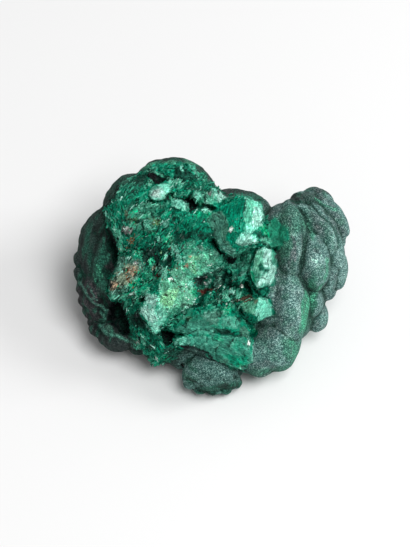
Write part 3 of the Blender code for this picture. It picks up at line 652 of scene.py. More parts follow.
def addRelief(item):
    mesh = item.data
    points = toFace(positions(mesh))
    normals = turnedToFace(directions(mesh))
    above = smoothStep(positions(mesh)[:, 2] / layout["mm"], *relief["flatRange"])  # resting flats stay flat
    broken = brokenShare(points, normals[:, 2])
    shares = facetShares(points)
    points += normals * skinHeights(points, normals, broken, above)[:, None]
    for k, facets in enumerate(relief["facets"]):
        chosen = broken > relief["leastShare"]
        weight = (shares[k] * broken * above)[chosen]
        shade = np.zeros(len(points))
        points[chosen], shade[chosen] = chisel(
            points[chosen], normals[chosen], weight, facets, relief["facetSeed"] + k)
        keep(mesh, "facet%d" % k, shade)
        mesh.vertices.foreach_set("co", fromFace(points).astype(np.float32).ravel())
        mesh.update()
        normals = turnedToFace(directions(mesh))
    keep(mesh, "broken", broken)


def thinOut(item, faceCount):
    thin = item.modifiers.new("thin", "DECIMATE")
    thin.ratio = min(1, faceCount / sum(len(face.vertices) - 2 for face in item.data.polygons))
    applyAll(item)


def mend(item):  # cuts out the few places where faces meet badly, and fills them in again
    pickOnly([item])
    bpy.ops.object.mode_set(mode="EDIT")
    bpy.context.tool_settings.mesh_select_mode = (True, False, False)
    for _ in range(skin["mendRounds"]):
        bpy.ops.mesh.select_all(action="DESELECT")
        bpy.ops.mesh.select_non_manifold()
        bpy.ops.mesh.delete(type="VERT")
        bpy.ops.mesh.select_all(action="DESELECT")
        bpy.ops.mesh.select_non_manifold()
        bpy.ops.mesh.fill_holes(sides=0)
        bpy.ops.mesh.quads_convert_to_tris()
    bpy.ops.object.mode_set(mode="OBJECT")
    editAll(item, bpy.ops.mesh.normals_make_consistent)


for piece in (stone, brokenFace):
    addRelief(piece)
    thinOut(piece, skin["faceCount"])
    mend(piece)
print("stone: relief done,", len(stone.data.polygons), "and", len(brokenFace.data.polygons), "faces")


tones = {  # as they look in daylight, from 0 to 255
    "black": (16, 20, 22),
    "slate": (38, 50, 49),
    "purple": (56, 54, 58),
    "shell": (36, 60, 54),
    "shellGreen": (28, 84, 68),
    "velvet": (88, 126, 121),
    "velvetDark": (72, 112, 105),
    # the tone of the painted highlights on the velvet lobes' crests
    "velvetHighlight": (120, 158, 152),
    "plum": (74, 90, 90),
    "velvetGreen": (44, 104, 84),
    "rim": (60, 142, 112),
    "shade": (16, 66, 53),
    "deep": (10, 102, 79),
    "emerald": (2, 122, 94),
    "bright": (0, 162, 116),
    "vivid": (0, 172, 120),
    "green": (34, 126, 99),
    "satin": (50, 124, 104),
    "soft": (70, 156, 128),
    "slab": (100, 180, 148),
    "mint": (116, 206, 180),
    "pale": (152, 208, 192),
    "dull": (82, 152, 132),
    "grey": (66, 120, 102),
    "yellow": (132, 200, 150),
    "olive": (90, 106, 62),
    "tan": (170, 146, 120),
    "ochre": (134, 98, 66),
    "rust": (88, 30, 28),
    "pink": (128, 118, 120),
    "white": (240, 246, 242),
}

# Dabs on the skin: tone, place (across, up), half sizes, turn, strength.
skinDabs = [
    ("velvet", (25, 0), (16, 26), 0, 1),
    ("velvet", (14, -17), (12, 12), 0, 1),
    ("velvetDark", (1, -25), (10, 7.5), 0, 0.95),
    ("velvetDark", (19, 12), (5, 8), 0, 0.8),
    ("velvetDark", (28, 12), (5, 7), 25, 0.4),
    ("plum", (17.4, 4), (1.7, 4.8), 0, 0.7),
    ("plum", (16.4, 16.2), (2.8, 1.8), -20, 0.6),
    ("plum", (18.4, 13.2), (1.4, 3), 20, 0.6),
    ("plum", (26.6, 13.2), (2.2, 3.6), 40, 0.55),
    ("plum", (31.6, 13.6), (1.6, 3), 20, 0.6),
    ("plum", (14.8, -13.2), (3.2, 2.6), 20, 0.55),
    ("plum", (16.4, -5.4), (1.2, 4), 0, 0.6),
    ("plum", (20.3, 6.0), (1.2, 5.2), 0, 0.85),
    ("velvetDark", (14, -19), (3.4, 3), 0, 0.6),
    # painted highlights on the velvet lobes' crests, and small pale painted glints
    ("velvetHighlight", (22.4, 5.2), (0.6, 4), 0, 0.7),
    ("velvetHighlight", (26, 3.6), (1.9, 2.2), 0, 0.5),
    ("velvetHighlight", (30.8, 8), (0.8, 3.6), 20, 0.6),
    ("velvetHighlight", (21.2, -3.4), (1.5, 4.6), 0, 0.15),
    ("velvetHighlight", (22, -9.2), (0.9, 2.4), 0, 0.6),
    ("velvetHighlight", (19.6, -15.4), (1.4, 2.6), 0, 0.6),
    ("velvetHighlight", (33, 2), (1.2, 4), 0, 0.2),
    ("velvetHighlight", (25, 20.6), (2.2, 0.7), -8, 0.6),
    ("pale", (20.4, 10.5), (0.7, 0.3), 20, 0.9),
    ("pale", (25.7, 3.9), (0.9, 0.26), -30, 0.9),
    ("pale", (27.1, 4.8), (0.26, 0.4), 0, 0.8),
    ("pale", (21.2, 15.1), (0.5, 0.3), 0, 0.7),
    ("velvetDark", (5.4, -21.6), (3.6, 2.4), 0, 0.7),
    ("shell", (7, 19.5), (8, 3.2), -20, 0.7),
    ("purple", (4.4, 21.2), (2.2, 0.9), -10, 0.5),
    ("shellGreen", (11, 19.2), (3, 1.4), -20, 0.6),
    ("velvetGreen", (20.5, 14), (4.5, 3.4), 0, 0.5),
    ("velvetGreen", (17.8, 8), (2.4, 5), 0, 0.7),
    ("velvetGreen", (24.5, -7), (1.8, 7.5), -8, 0.9),
    ("rim", (23.8, -8), (1.1, 6.5), -8, 0.8),
    ("rim", (24.6, 11), (0.7, 2.6), 30, 0.7),
    ("velvetGreen", (20.5, -19), (2.4, 4.4), 25, 0.8),
    ("rim", (20.9, -18.4), (0.9, 3.2), 20, 0.5),
    ("velvetGreen", (14, -24.6), (7, 1.8), 10, 0.8),
    ("shellGreen", (3, -29), (8, 2.4), 6, 0.9),
    ("velvetGreen", (-5, -24), (2, 3), 0, 0.6),
    ("shell", (24.4, 19.6), (3.6, 1.5), -8, 0.85),
    ("slate", (21.2, 19.4), (2.0, 1.5), 20, 1),
    ("black", (20.8, 18.9), (1.2, 0.8), 20, 0.6),
    ("slate", (27.2, 22.2), (4.6, 0.9), -16, 0.8),
    ("shellGreen", (-27, 1.5), (2.6, 5.4), 0, 0.7),
    ("shellGreen", (-24, 13), (2.4, 7), -18, 0.7),
    ("shellGreen", (-8, 30), (13, 2.6), 0, 0.8),
    ("shellGreen", (-23, 22), (4, 3), 40, 0.4),
    ("slate", (-33, 2.4), (2, 5), 0, 0.8),
    ("purple", (-31, -7.4), (4, 7), 0, 0.8),
    ("slate", (-26, -15.4), (7.5, 5.2), 0, 0.95),
    # painted shade in the pits on the left, with a purple tint
    ("black", (-22.4, -10.4), (3.2, 5), 0, 0.95),
    ("purple", (-23, -11.4), (1.6, 3), 0, 0.35),
    ("black", (-26, -8.4), (2.2, 4.6), 10, 0.85),
    # painted shadow in the groove beside the broken face's left edge
    ("black", (-24.4, 7.8), (1.5, 3.6), 16, 0.85),
    ("purple", (-25.4, 2.2), (1.2, 1.2), 0, 0.8),
    ("black", (-29.4, -2.2), (0.6, 1.2), 0, 0.6),
    ("dull", (-26.2, 8.3), (0.5, 0.6), 0, 0.5),
    ("grey", (-26, -13.4), (1.4, 1.2), 0, 0.6),
    ("grey", (-22.6, -15.4), (2.6, 0.5), -24, 0.7),
]

# Streaks on the skin: place, half sizes, turn, the streaks' direction, and the tone of the light ones.
skinStreaks = [
    ((-28, 2), (8, 20), 0, 76, "shellGreen"),
    ((-23, 16), (6, 9), -30, 60, "shellGreen"),
    ((-8, 30), (15, 4), 0, 20, "rim"),
    ((1, -25), (9, 7), 0, -20, "velvet"),
]

# Patches of the broken face, the later ones on top: tone, strength, corners (across, up). The black and shade
# patches marked below are painted shade in holes, cracks and creases, and painted shadow under overhangs.
facePatches = [
    # the left and the upper left
    ("deep", 0.8, [(-22, 18), (-14, 18), (-10, 12), (-12, 7), (-20, 7), (-23, 12)]),
    ("mint", 1, [(-26.9, 16.1), (-26.5, 15.4), (-25, 14), (-25.6, 15.2), (-26.4, 16)]),
    ("shell", 1, [(-27, 18), (-25, 22), (-23.2, 24.4), (-22.4, 23.4), (-23, 21), (-24.6, 18.6),
        (-26.4, 17.4)]),
    ("soft", 0.5, [(-23, 24.4), (-20.6, 24.8), (-18.4, 23.8), (-19, 22.8), (-21, 23), (-22.4, 22.4),
        (-23.2, 23.4)]),
    ("black", 1, [(-21, 22.8), (-19, 22), (-19.4, 21), (-20.2, 20.6), (-19.8, 21.6)]),
    ("shade", 1, [(-19, 25.4), (-17, 26.4), (-16, 25.4), (-16.4, 23.4), (-17.4, 22), (-18.6, 22.2),
        (-19.4, 23.6)]),
    ("emerald", 1, [(-19.8, 26.6), (-17, 27.8), (-12, 29), (-8, 28.6), (-9.4, 25.6), (-13, 26),
        (-16.4, 26), (-18, 25.6)]),
    ("soft", 0.9, [(-16.8, 26.2), (-15.6, 27), (-12, 25.4), (-9.6, 24.5), (-10.6, 24.3), (-14.4, 26)]),
    # painted shade in the fibre hole
    ("black", 1, [(-15.8, 26), (-14.4, 26.2), (-12.8, 25.2), (-10.4, 24), (-12.4, 23.1), (-14, 22.9),
        (-16, 24.8)]),
    ("soft", 1, [(-15.8, 24), (-15, 24.2), (-14.4, 23), (-15.2, 22.6)]),
    ("mint", 1, [(-15.4, 21.4), (-14.6, 22.2), (-11.8, 23), (-10.4, 22.6), (-10.2, 21.4), (-11.4, 20),
        (-12, 19.2), (-13.4, 18.9), (-14.8, 19.3), (-15.4, 20)]),
    ("pale", 1, [(-15, 21), (-13, 22), (-12, 21.8), (-11.4, 20.8), (-12.4, 19.6), (-14, 19.4),
        (-15, 19.8)]),
    ("white", 0.35, [(-14.6, 21), (-13, 21.6), (-12.2, 20.8), (-13, 19.9), (-14.6, 20)]),
    ("dull", 1, [(-10.4, 23.8), (-8.4, 23.8), (-8, 22.8), (-9.6, 22.6), (-10.6, 22.8)]),
    ("bright", 1, [(-10, 21), (-9, 20.8), (-8.8, 19.6), (-9.8, 18.8), (-10.2, 19.6)]),
    ("slate", 1, [(-11.2, 20.2), (-10.2, 20.4), (-10.4, 18.6), (-11.2, 18.8)]),
    ("soft", 0.6, [(-21, 17.6), (-15, 18), (-12.6, 14), (-14.6, 11), (-19.6, 11.4), (-21.4, 14)]),
    ("soft", 0.7, [(-20, 17.2), (-16.6, 18.4), (-14, 18.2), (-10.8, 17), (-12.4, 16.4), (-14.6, 16.8),
        (-19, 16.6)]),
    ("bright", 1, [(-20.4, 15.8), (-19.6, 16.4), (-18.4, 16.4), (-18.2, 15.6), (-19.4, 15.1)]),
    ("bright", 0.6, [(-16.8, 15.8), (-15.9, 15.8), (-15.6, 15.2), (-16.4, 14.8)]),
    ("rust", 0.5, [(-21.6, 16.4), (-21, 16.2), (-20.6, 14.4), (-21, 13.8), (-21.6, 15)]),
    ("olive", 0.5, [(-20.6, 14.6), (-18, 14.8), (-18.6, 13), (-20, 13.2)]),
    ("olive", 0.7, [(-14.8, 14.6), (-12.6, 14), (-13, 12.6), (-14.6, 12.4)]),
    ("mint", 0.7, [(-12.4, 13.2), (-11, 14), (-10.2, 13.2), (-11, 12), (-12, 12.2)]),
    ("slate", 0.6, [(-10, 14), (-9, 14.2), (-8.2, 13.2), (-9.4, 12.8)]),
    ("pink", 0.7, [(-22.2, 12.4), (-20.6, 12.6), (-19.8, 11.6), (-20.6, 10.4), (-21.8, 10.4)]),
    # painted shadow in the groove under the edge block
    ("black", 1, [(-25, 11.4), (-24, 9.4), (-22.6, 5.4), (-22.6, 4.8), (-23.8, 4.8), (-24.6, 7),
        (-25.4, 9.6)]),
    ("soft", 0.75, [(-24.8, 12), (-23.2, 12), (-22.2, 9.6), (-21.8, 5.4), (-22.6, 6), (-23.4, 8),
        (-24.2, 10)]),
    ("ochre", 0.8, [(-20.2, 9.6), (-19.2, 9.6), (-19, 8.6), (-19.8, 7.9), (-20.4, 8.6)]),
    ("bright", 0.8, [(-15.8, 10.8), (-14, 11), (-13.2, 10.6), (-14, 10.2), (-15.4, 10.4)]),
    ("mint", 0.9, [(-13.6, 9.8), (-12.6, 10), (-12.4, 9), (-13.2, 8.6)]),
    ("shade", 0.9, [(-17, 7), (-13, 8), (-10, 6.6), (-9.6, 3), (-12, 0), (-14.6, -0.8), (-15.6, 2),
        (-17.4, 5)]),
    ("bright", 1, [(-11.4, 9.6), (-10.2, 10), (-9.4, 9), (-9.8, 8.2), (-11, 7.8)]),
    ("mint", 1, [(-10.6, 7), (-9.6, 7.8), (-8.8, 7.2), (-9, 6.6), (-10, 6.8)]),
    ("slate", 0.7, [(-17, 6.6), (-15, 7.2), (-13.6, 7.2), (-14.2, 5.8), (-15.6, 5.2), (-17, 5.6)]),
    ("slate", 0.7, [(-16.8, 4.8), (-15.8, 4.8), (-15.8, 2.8), (-16.6, 2.6)]),
    ("bright", 1, [(-19, 6.4), (-17.6, 6), (-17.2, 4.6), (-18, 4.6), (-18.8, 5.6)]),
    ("bright", 1, [(-15.6, 4.6), (-14.6, 4.4), (-13.8, 3.6), (-14.4, 2.4), (-15.4, 3)]),
    ("black", 1, [(-14.6, 5.6), (-13, 5), (-12.8, 3.4), (-12, 2), (-12.2, 1.4), (-13.4, 3.2), (-14, 4.4)]),
    # painted shade in a small pit
    ("black", 1, [(-10.8, 5.4), (-10, 5.2), (-10, 3.6), (-10.6, 3.4)]),
    ("mint", 1, [(-11.8, 4.6), (-11, 5.2), (-10.6, 4.4), (-11.4, 3.8)]),
    ("dull", 0.5, [(-15, 2.4), (-13.2, 3), (-12.4, 2.2), (-12.8, 1.2), (-14.4, 1)]),
    ("mint", 1, [(-14.6, 0.8), (-14, 0.6), (-13.8, -0.8), (-14.4, -0.6)]),
    ("rust", 0.6, [(-13.6, 0.6), (-12.8, 0.8), (-12.8, -0.4), (-13.4, -0.4)]),
    ("bright", 1, [(-12.4, 1.2), (-11.4, 2.2), (-10.6, 1.6), (-10.6, 0), (-11.4, -1.2), (-12.4, -1)]),
    ("bright", 0.9, [(-9.4, 6.2), (-8.6, 5.8), (-7.4, 4), (-6.4, 2.4), (-7, 2), (-8.2, 3.4), (-9.2, 5)]),
    # the brown chunk and its flank
    ("grey", 1, [(-23.6, 4.4), (-22, 5), (-19, 4.4), (-17.2, 3.8), (-16.8, 2), (-17.4, 0.6), (-19.4, -2.4),
        (-21, -3), (-21.4, -4), (-25.4, -4.8), (-25.5, -2.4), (-23.8, 0.8)]),
    ("tan", 0.9, [(-20.8, 2.2), (-19, 2.4), (-18.2, 1.2), (-19.4, 0.4), (-20.4, 0.8)]),
    ("tan", 0.28, [(-25.2, -0.8), (-22.6, 1.2), (-20.6, 3), (-18.4, 3), (-18, 1), (-20, -1.6), (-22.4, -3),
        (-25, -3.8)]),
    ("ochre", 1, [(-21, 0), (-20.2, 0), (-20.2, -1.6), (-20.8, -1.6)]),
    ("tan", 0.9, [(-24.4, -0.9), (-23.2, -1), (-23, -2.4), (-23.8, -3.6), (-24.6, -2.8)]),
    ("slate", 1, [(-25.4, -1.6), (-24.6, -1), (-24.4, -3), (-25.2, -3.4)]),
    ("bright", 1, [(-20, -1.2), (-18.4, -0.8), (-18, -2.6), (-19, -3), (-20.4, -2.4)]),
    ("mint", 1, [(-21.4, -2.6), (-20.6, -2.4), (-20.6, -3.6), (-21.4, -3.4)]),
    ("soft", 1, [(-25.6, -4.6), (-25, -5.3), (-20.8, -5.2), (-20.8, -4.6), (-22.6, -4.4), (-24.6, -4.4)]),
    ("bright", 0.4, [(-17.6, 0.6), (-16.6, 1.2), (-15.2, 1), (-14.4, -0.4), (-14.6, -1.6), (-16.4, -2.4),
        (-17.8, -2.4), (-18.2, -0.8)]),
    ("bright", 0.4, [(-20.6, -4.6), (-18.6, -3.2), (-16.4, -2.6), (-15.4, -3.4), (-16.6, -6.2), (-17, -7),
        (-18.2, -6.8), (-19.4, -5.8)]),
    ("white", 0.8, [(-19.2, -3.4), (-19.6, -4), (-20.8, -4.9), (-20.4, -4.9), (-19.2, -4)]),
    ("bright", 1, [(-16.2, -2.6), (-15.2, -2.8), (-15.4, -3.8), (-16, -3.6)]),
    ("green", 0.8, [(-22.6, -6), (-20.4, -5.6), (-19.6, -7.6), (-20.4, -9), (-21.4, -8.8), (-22, -7.4)]),
    ("soft", 0.7, [(-21.4, -6.2), (-20.4, -6.2), (-20.4, -7.4), (-21.2, -7.6)]),
    # the slab
    ("slab", 0.8, [(-9, 2.6), (-7.6, 2.8), (-5.4, 2.2), (-4.6, 0.4), (-4.6, -1.2), (-8.8, -1),
        (-10.2, 0.4)]),
    ("mint", 1, [(-9.4, 6.8), (-8.6, 6.8), (-7, 3.8), (-7.2, 3), (-8.4, 3.4), (-9.2, 5)]),
    ("mint", 0.8, [(-12.4, 1.6), (-11.2, 2), (-10.6, 0.6), (-11.2, -1.6), (-12.6, -1.8)]),
    ("slab", 1, [(-12.6, -1.4), (-11, -1), (-9.6, -1), (-8, -0.6), (-6, -1), (-4.6, -2), (-3.8, -4),
        (-4, -6), (-5, -7.2), (-7.6, -8.4), (-10, -9.8), (-12, -10.4), (-13.2, -7), (-13, -4.6)]),
    ("yellow", 0.8, [(-12, -4.6), (-10.4, -3.4), (-9, -2.6), (-8, -3.2), (-8.6, -5), (-9.4, -6.8),
        (-10.6, -8), (-12, -7.4), (-12.6, -6)]),
    ("mint", 1, [(-6, -1.2), (-5, -1.4), (-4.4, -2.2), (-4.6, -3.2), (-5.6, -2.2)]),
    ("bright", 0.8, [(-4.6, -3.4), (-3.6, -3), (-3.2, -4.2), (-3.6, -5.2), (-4.6, -5), (-4.8, -4.2)]),
    ("green", 0.8, [(-11.6, -9), (-8.6, -7.6), (-6.4, -8), (-4.6, -8.8), (-5, -10), (-8, -12),
        (-11, -12.6)]),
    ("black", 0.7, [(-7.4, -6.9), (-5, -7), (-3.6, -7), (-5, -7.8), (-6.6, -7.4), (-7.6, -7.8)]),
    ("mint", 1, [(-16.6, -4.2), (-14, -4.6), (-12.8, -5), (-12.4, -8.4), (-12, -11.4), (-12.2, -12.8),
        (-14, -14.5), (-14.8, -13.8), (-15.8, -11), (-17.8, -9), (-17.2, -7.4), (-16, -6.4)]),
    ("pale", 1, [(-16.4, -4.8), (-14.4, -4.6), (-13, -5), (-12.8, -7), (-14.6, -7.2), (-15.8, -6.8)]),
    ("pale", 1, [(-17.6, -8.6), (-16.6, -7.4), (-15, -7.8), (-14, -9), (-13, -11), (-14.4, -12.4),
        (-16, -10.8)]),
    ("mint", 0.6, [(-13.2, -5), (-12, -8), (-11.4, -8.6), (-11.2, -11), (-12.6, -12.6), (-13, -9)]),
    ("emerald", 0.9, [(-14.6, -8), (-13.6, -7), (-12.8, -7), (-13, -7.8), (-13.8, -8.4)]),
    ("mint", 0.7, [(-14, -10.8), (-12.6, -10.8), (-12.2, -12.4), (-13.4, -13.4), (-14.6, -13.2),
        (-15.2, -12)]),
    # painted shade in a crack
    ("black", 1, [(-17.4, -4.8), (-16.2, -5.8), (-16, -6.8), (-17, -6)]),
    ("bright", 1, [(-11.8, 10), (-10, 10.2), (-9.2, 8.8), (-10.2, 8), (-11.4, 8.2)]),
    ("mint", 1, [(-10, 8), (-9, 7.6), (-8.8, 6.6), (-10, 7)]),
    ("mint", 0.9, [(-11.6, 5.4), (-10.4, 6), (-10.8, 4.4), (-11.8, 3.8)]),
    # painted shade in a small pit
    ("black", 0.9, [(-10.7, 5.2), (-10, 4.6), (-10.4, 3.6), (-11, 4.2)]),
    ("bright", 1, [(-15.8, 4.4), (-14.2, 4.5), (-14.3, 3.4), (-15.4, 3.3)]),
    ("soft", 1, [(-15, 2.6), (-13, 3.1), (-12.3, 1.9), (-13.8, 1.1), (-15.2, 1.6)]),
    ("tan", 0.7, [(-14.8, 2.3), (-13.8, 2.5), (-13.6, 1.8), (-14.6, 1.6)]),
    ("rust", 0.5, [(-13.4, 0.8), (-12.8, 0.2), (-13, -1.2), (-13.8, -0.6)]),
    # the top
    ("emerald", 0.8, [(-9, 16), (-2, 16.4), (1, 12), (0, 9), (-6, 9), (-10, 12)]),
    ("shade", 1, [(-9, 27.6), (-6.6, 27.4), (-4.2, 25.4), (-3, 24.8), (-3.2, 23.9), (-8.6, 23.9),
        (-9.2, 25)]),
    ("mint", 1, [(-8, 27.6), (-7.6, 28), (-7, 26.8), (-7.4, 26.4), (-7.8, 26.8)]),
    ("dull", 0.5, [(-6, 28.8), (-5, 28.6), (-2.4, 24.6), (-3, 24.4), (-5.6, 27.4)]),
    ("green", 1, [(-4, 28), (-0.6, 25.4), (-0.2, 23.6), (-1.6, 23), (-2.4, 24.4), (-3.4, 26)]),
    ("soft", 1, [(-10, 24), (-8.6, 23.9), (-7, 23.6), (-7, 22.8), (-8.4, 22.6), (-10, 22.6)]),
    ("emerald", 1, [(-5.4, 23.8), (-3.2, 23.8), (-2.8, 22.8), (-4.6, 22.4), (-5.6, 23)]),
    ("purple", 0.6, [(-6.6, 22.8), (-4, 21.8), (-1.4, 21.8), (-0.6, 21.2), (-3, 21.1), (-6, 21.6)]),
    ("soft", 1, [(-4.6, 20.6), (-1.6, 21), (1, 22), (2.4, 21.3), (3.8, 19.4), (3.2, 18.2), (2.2, 17.2),
        (0.8, 18.4), (-0.2, 17.6), (-3.2, 18.8), (-4.2, 19.6)]),
    ("pale", 0.8, [(1, 20.6), (2.6, 21), (3.8, 19.8), (3.6, 18.8), (2, 17.2), (1.4, 17.8), (1.6, 19)]),
    ("mint", 1, [(0, 21.6), (1.2, 22), (1.6, 21.4), (0.8, 20.8)]),
    ("pink", 1, [(-0.8, 20.6), (0.2, 20.9), (0.8, 20.4), (0.4, 19.9), (-0.6, 20)]),
    ("mint", 0.9, [(-4.4, 20.4), (-3, 20.6), (-2, 20.2), (-2.6, 19.4), (-3.6, 19.2)]),
    ("bright", 1, [(-3.2, 18.8), (-2, 18.8), (-1.6, 18), (-2.4, 17.4), (-3.2, 17.8)]),
    # painted shade in the hole at the top
    ("black", 1, [(-6, 20), (-4.8, 19.8), (-3.4, 18.2), (-3.6, 17), (-4.4, 16.2), (-5.2, 16.6),
        (-5.6, 17.8), (-7.8, 19.4), (-6.8, 19.9)]),
    ("mint", 0.6, [(-9.8, 19), (-8.8, 19.4), (-6.4, 18.6), (-5.4, 16.6), (-6.9, 15.8), (-7.2, 16.8),
        (-10, 17)]),
    ("mint", 0.6, [(-9.4, 18.8), (-8.4, 19.2), (-6.8, 18.2), (-7.6, 17.4)]),
    ("mint", 1, [(-2.4, 16.8), (-1.8, 17.3), (-0.6, 17.4), (0.6, 16), (-0.2, 15.9), (-1.2, 16.4),
        (-2, 15.9)]),
    ("bright", 1, [(-4.2, 15.8), (-3, 16), (-2.4, 15.4), (-2.8, 14.6), (-3.8, 14.8)]),
    ("bright", 1, [(-1.2, 15.8), (0, 15.8), (0.2, 15), (-0.6, 14.4), (-1.4, 14.8)]),
    ("grey", 0.6, [(0, 15.8), (3, 16.4), (2.4, 12), (0, 12), (-1, 13.6)]),
    ("shade", 0.8, [(-9.6, 10.4), (-5, 11), (0.4, 10.6), (1, 9.4), (-1.6, 9), (-5.4, 9), (-8.4, 8.2),
        (-9.2, 9)]),
    # the chunk with the fan of fibres, and what lies to its right
    ("emerald", 1, [(0.3, 15.5), (1, 18), (3.8, 19.2), (6.2, 20), (9, 19.6), (11.8, 18.4), (13.2, 14),
        (11, 11), (12, 9), (6.3, 8.2), (5.8, 5.3), (4.2, 5.1), (1.6, 8.2), (0.3, 13)]),
    ("dull", 0.2, [(0.2, 2.2), (2.6, 2.2), (8.4, 3.6), (9.6, 1.4), (8.8, -0.4), (4.8, -2.4), (1, -2.4),
        (-1.6, -0.4)]),
    ("grey", 0.95, [(0.2, 15.6), (2.6, 16), (4.2, 13.6), (4.2, 11), (3.6, 9), (4.8, 7.6), (6.2, 6.4),
        (5.9, 5.2), (4.2, 5.1), (1.6, 8), (0.4, 10.4)]),
    ("dull", 0.5, [(0.2, 15.6), (2.4, 15.8), (3.4, 13.6), (2.8, 11), (0.6, 11.4)]),
    ("dull", 1, [(0.8, 11), (2, 10.8), (3, 8.4), (4.6, 7), (6.2, 6.6), (5.8, 5.3), (4.2, 5.1), (1.8, 8)]),
    ("mint", 1, [(8.3, 19.5), (11, 18.8), (12.8, 17.2), (13.3, 15), (12.8, 12.8), (10.6, 11.2),
        (10.2, 10.3), (12, 9), (8, 8.2), (6, 8.4), (7.6, 10.4), (8.6, 11.8), (8.4, 14), (8.3, 16)]),
    ("soft", 0.85, [(8.3, 19.2), (10.2, 18.8), (11, 17.4), (10.2, 14.6), (9.2, 12.4), (8.3, 13.6)]),
    ("green", 0.6, [(8.6, 14), (9.5, 18.8), (9.8, 18.7), (8.9, 14)]),
    ("green", 0.5, [(9.2, 13.6), (10.7, 17.8), (11, 17.6), (9.5, 13.4)]),
    ("pale", 0.85, [(10.8, 17.4), (12.4, 17.2), (13.1, 15.2), (12.8, 13), (11, 12), (9.8, 13), (10.2, 15)]),
    ("soft", 0.5, [(11.4, 13), (12.2, 16.8), (12.4, 16.8), (11.7, 13)]),
    ("soft", 0.5, [(9.2, 9.6), (10, 11.4), (10.4, 12), (10.2, 10.6), (9.6, 9.4)]),
    ("pale", 0.6, [(6, 8.4), (7.4, 9.6), (9.6, 10.2), (10.4, 9.2), (12, 8.5), (8, 7.6), (7.6, 7.2),
        (6.6, 8)]),
    # painted shade in a crease of the chunk, and in a hollow beside it
    ("shade", 1, [(8.3, 18.8), (8.7, 19.2), (8.5, 17), (8.2, 15.2), (7.9, 15.4), (8.1, 17.2)]),
    ("shade", 1, [(10.7, 11.2), (12.6, 10.8), (12.8, 9.4), (12.2, 9), (11.4, 9.8)]),
    ("vivid", 1, [(12.9, 12.9), (13.8, 12.6), (14.6, 11), (14.6, 9.6), (13.6, 9.8), (12, 11.6)]),
    ("soft", 1, [(12.2, 9.2), (13, 10), (14.8, 9.2), (15.6, 8.6), (14, 7.6), (12.6, 8)]),
    ("green", 1, [(14, 13.2), (16.4, 14.6), (17.6, 13.6), (19, 10), (19, 8), (17.4, 6.6), (14, 7.4),
        (15.6, 8.6), (14.8, 9.4), (13.9, 12.6)]),
    ("green", 1, [(17.4, 10), (19, 9.6), (19, 7.6), (17.4, 6.8), (16.8, 8)]),
    # painted shade in the crease along the chunk's left edge
    ("black", 1, [(0.4, 9.4), (2.2, 6.6), (3.6, 5.4), (3.4, 5), (2, 6), (1, 7.6), (0.3, 9)]),
    # the plateau
    ("soft", 0.8, [(-8, 7.4), (-6.4, 8.6), (-4.4, 8.8), (-3.6, 7), (1.6, 6.2), (2.4, 4.4), (1.4, 2.6),
        (-0.6, 1.9), (-2, 0.3), (-4.4, -0.8), (-6, 0), (-7, 2.6), (-6.6, 5)]),
    ("pink", 0.3, [(-3.2, 7.8), (-1.8, 7.6), (-1.8, 6.4), (-3, 6.2)]),
    ("emerald", 1, [(-0.8, 8.2), (0.6, 8.4), (1.4, 7.6), (0.8, 6.8), (-0.6, 6.8)]),
    ("slab", 0.55, [(-5, 5.2), (-2, 5.8), (0.4, 5.2), (1.2, 4), (0.6, 2.8), (-0.6, 2.2), (-2, 0.6),
        (-3.4, 0.2), (-4.8, 0.2), (-5.2, 1.6), (-4.8, 3.4)]),
    ("yellow", 0.45, [(-5.6, 5.4), (-2.6, 5.2), (-2.6, 4.2), (-4, 3.8), (-3.8, 0.6), (-4.8, 0.8),
        (-5.6, 3.4)]),
    ("grey", 0.8, [(0.4, 6.6), (1.6, 6.4), (2.2, 5.2), (1.2, 4.6), (0.4, 5.2)]),
    ("green", 0.8, [(1.8, 5.4), (2.8, 5.4), (3.4, 4), (2.8, 3), (1.8, 3.6)]),
    # the valley
    ("deep", 0.9, [(-4, -0.4), (3, 2.4), (10, 1), (11, -4), (9, -6), (2, -7), (-3.4, -6)]),
    ("grey", 0.35, [(3.4, 5), (6, 5.2), (7, 6.8), (9.8, 7.6), (10.2, 6.4), (9.6, 5), (10.2, 4), (10, 1.6),
        (8.6, 1), (4.4, 2.6), (3.2, 3)]),
    # painted shadow under the chunk
    ("black", 1, [(4, 5), (6.4, 4.6), (6, 3.2), (4.4, 3)]),
    ("emerald", 1, [(9.8, 6.8), (11.4, 6.6), (11, 5.6), (10, 5.2)]),
    ("grey", 0.6, [(-2, 1.4), (0, 2), (1.6, 2.6), (3.2, 2.4), (3.2, 1.2), (1.6, 0), (-1.2, 0),
        (-2.4, -0.2)]),
    ("slate", 0.8, [(-4.4, -0.4), (-1.8, 0.4), (-1.4, -0.4), (-2, -2.4), (-3.4, -2.8), (-4.2, -2)]),
    ("slate", 0.8, [(-3.6, -0.8), (-2.6, -0.4), (-2.2, -1.4), (-3, -1.8)]),
    ("pale", 0.8, [(-0.4, -0.6), (0, -0.8), (-0.4, -1.8), (-1.2, -2.6), (-1, -1.6)]),
    # painted shade in a pit of the valley
    ("black", 1, [(2.6, 0.3), (3.6, 0.6), (4.6, 0), (4.4, -0.5), (3, -0.4)]),
    ("grey", 1, [(1, -0.8), (1.6, 0.2), (2.6, 0), (3, -1.4), (2.8, -2.6), (2, -3), (1.4, -2.6)]),
    ("dull", 0.9, [(0.9, -0.9), (1.2, -1.4), (1.4, -2.5), (1.1, -2.4), (0.9, -1.6)]),
    ("rust", 0.9, [(-2.8, -3.6), (-1, -3), (0.4, -2.9), (0.8, -3.4), (-0.6, -3.6), (-1.8, -4.6),
        (-2.6, -4.6)]),
    ("emerald", 1, [(5.2, -1.2), (6.2, 0), (7, 0.6), (8.8, 1.2), (9.2, 0.4), (8.8, -0.6), (6.6, -1.8)]),
    ("dull", 0.9, [(5.2, -1.2), (6.2, 0), (7, 0.6), (8.8, 1.2), (8.8, 0.9), (7, 0.1), (6.2, -0.6)]),
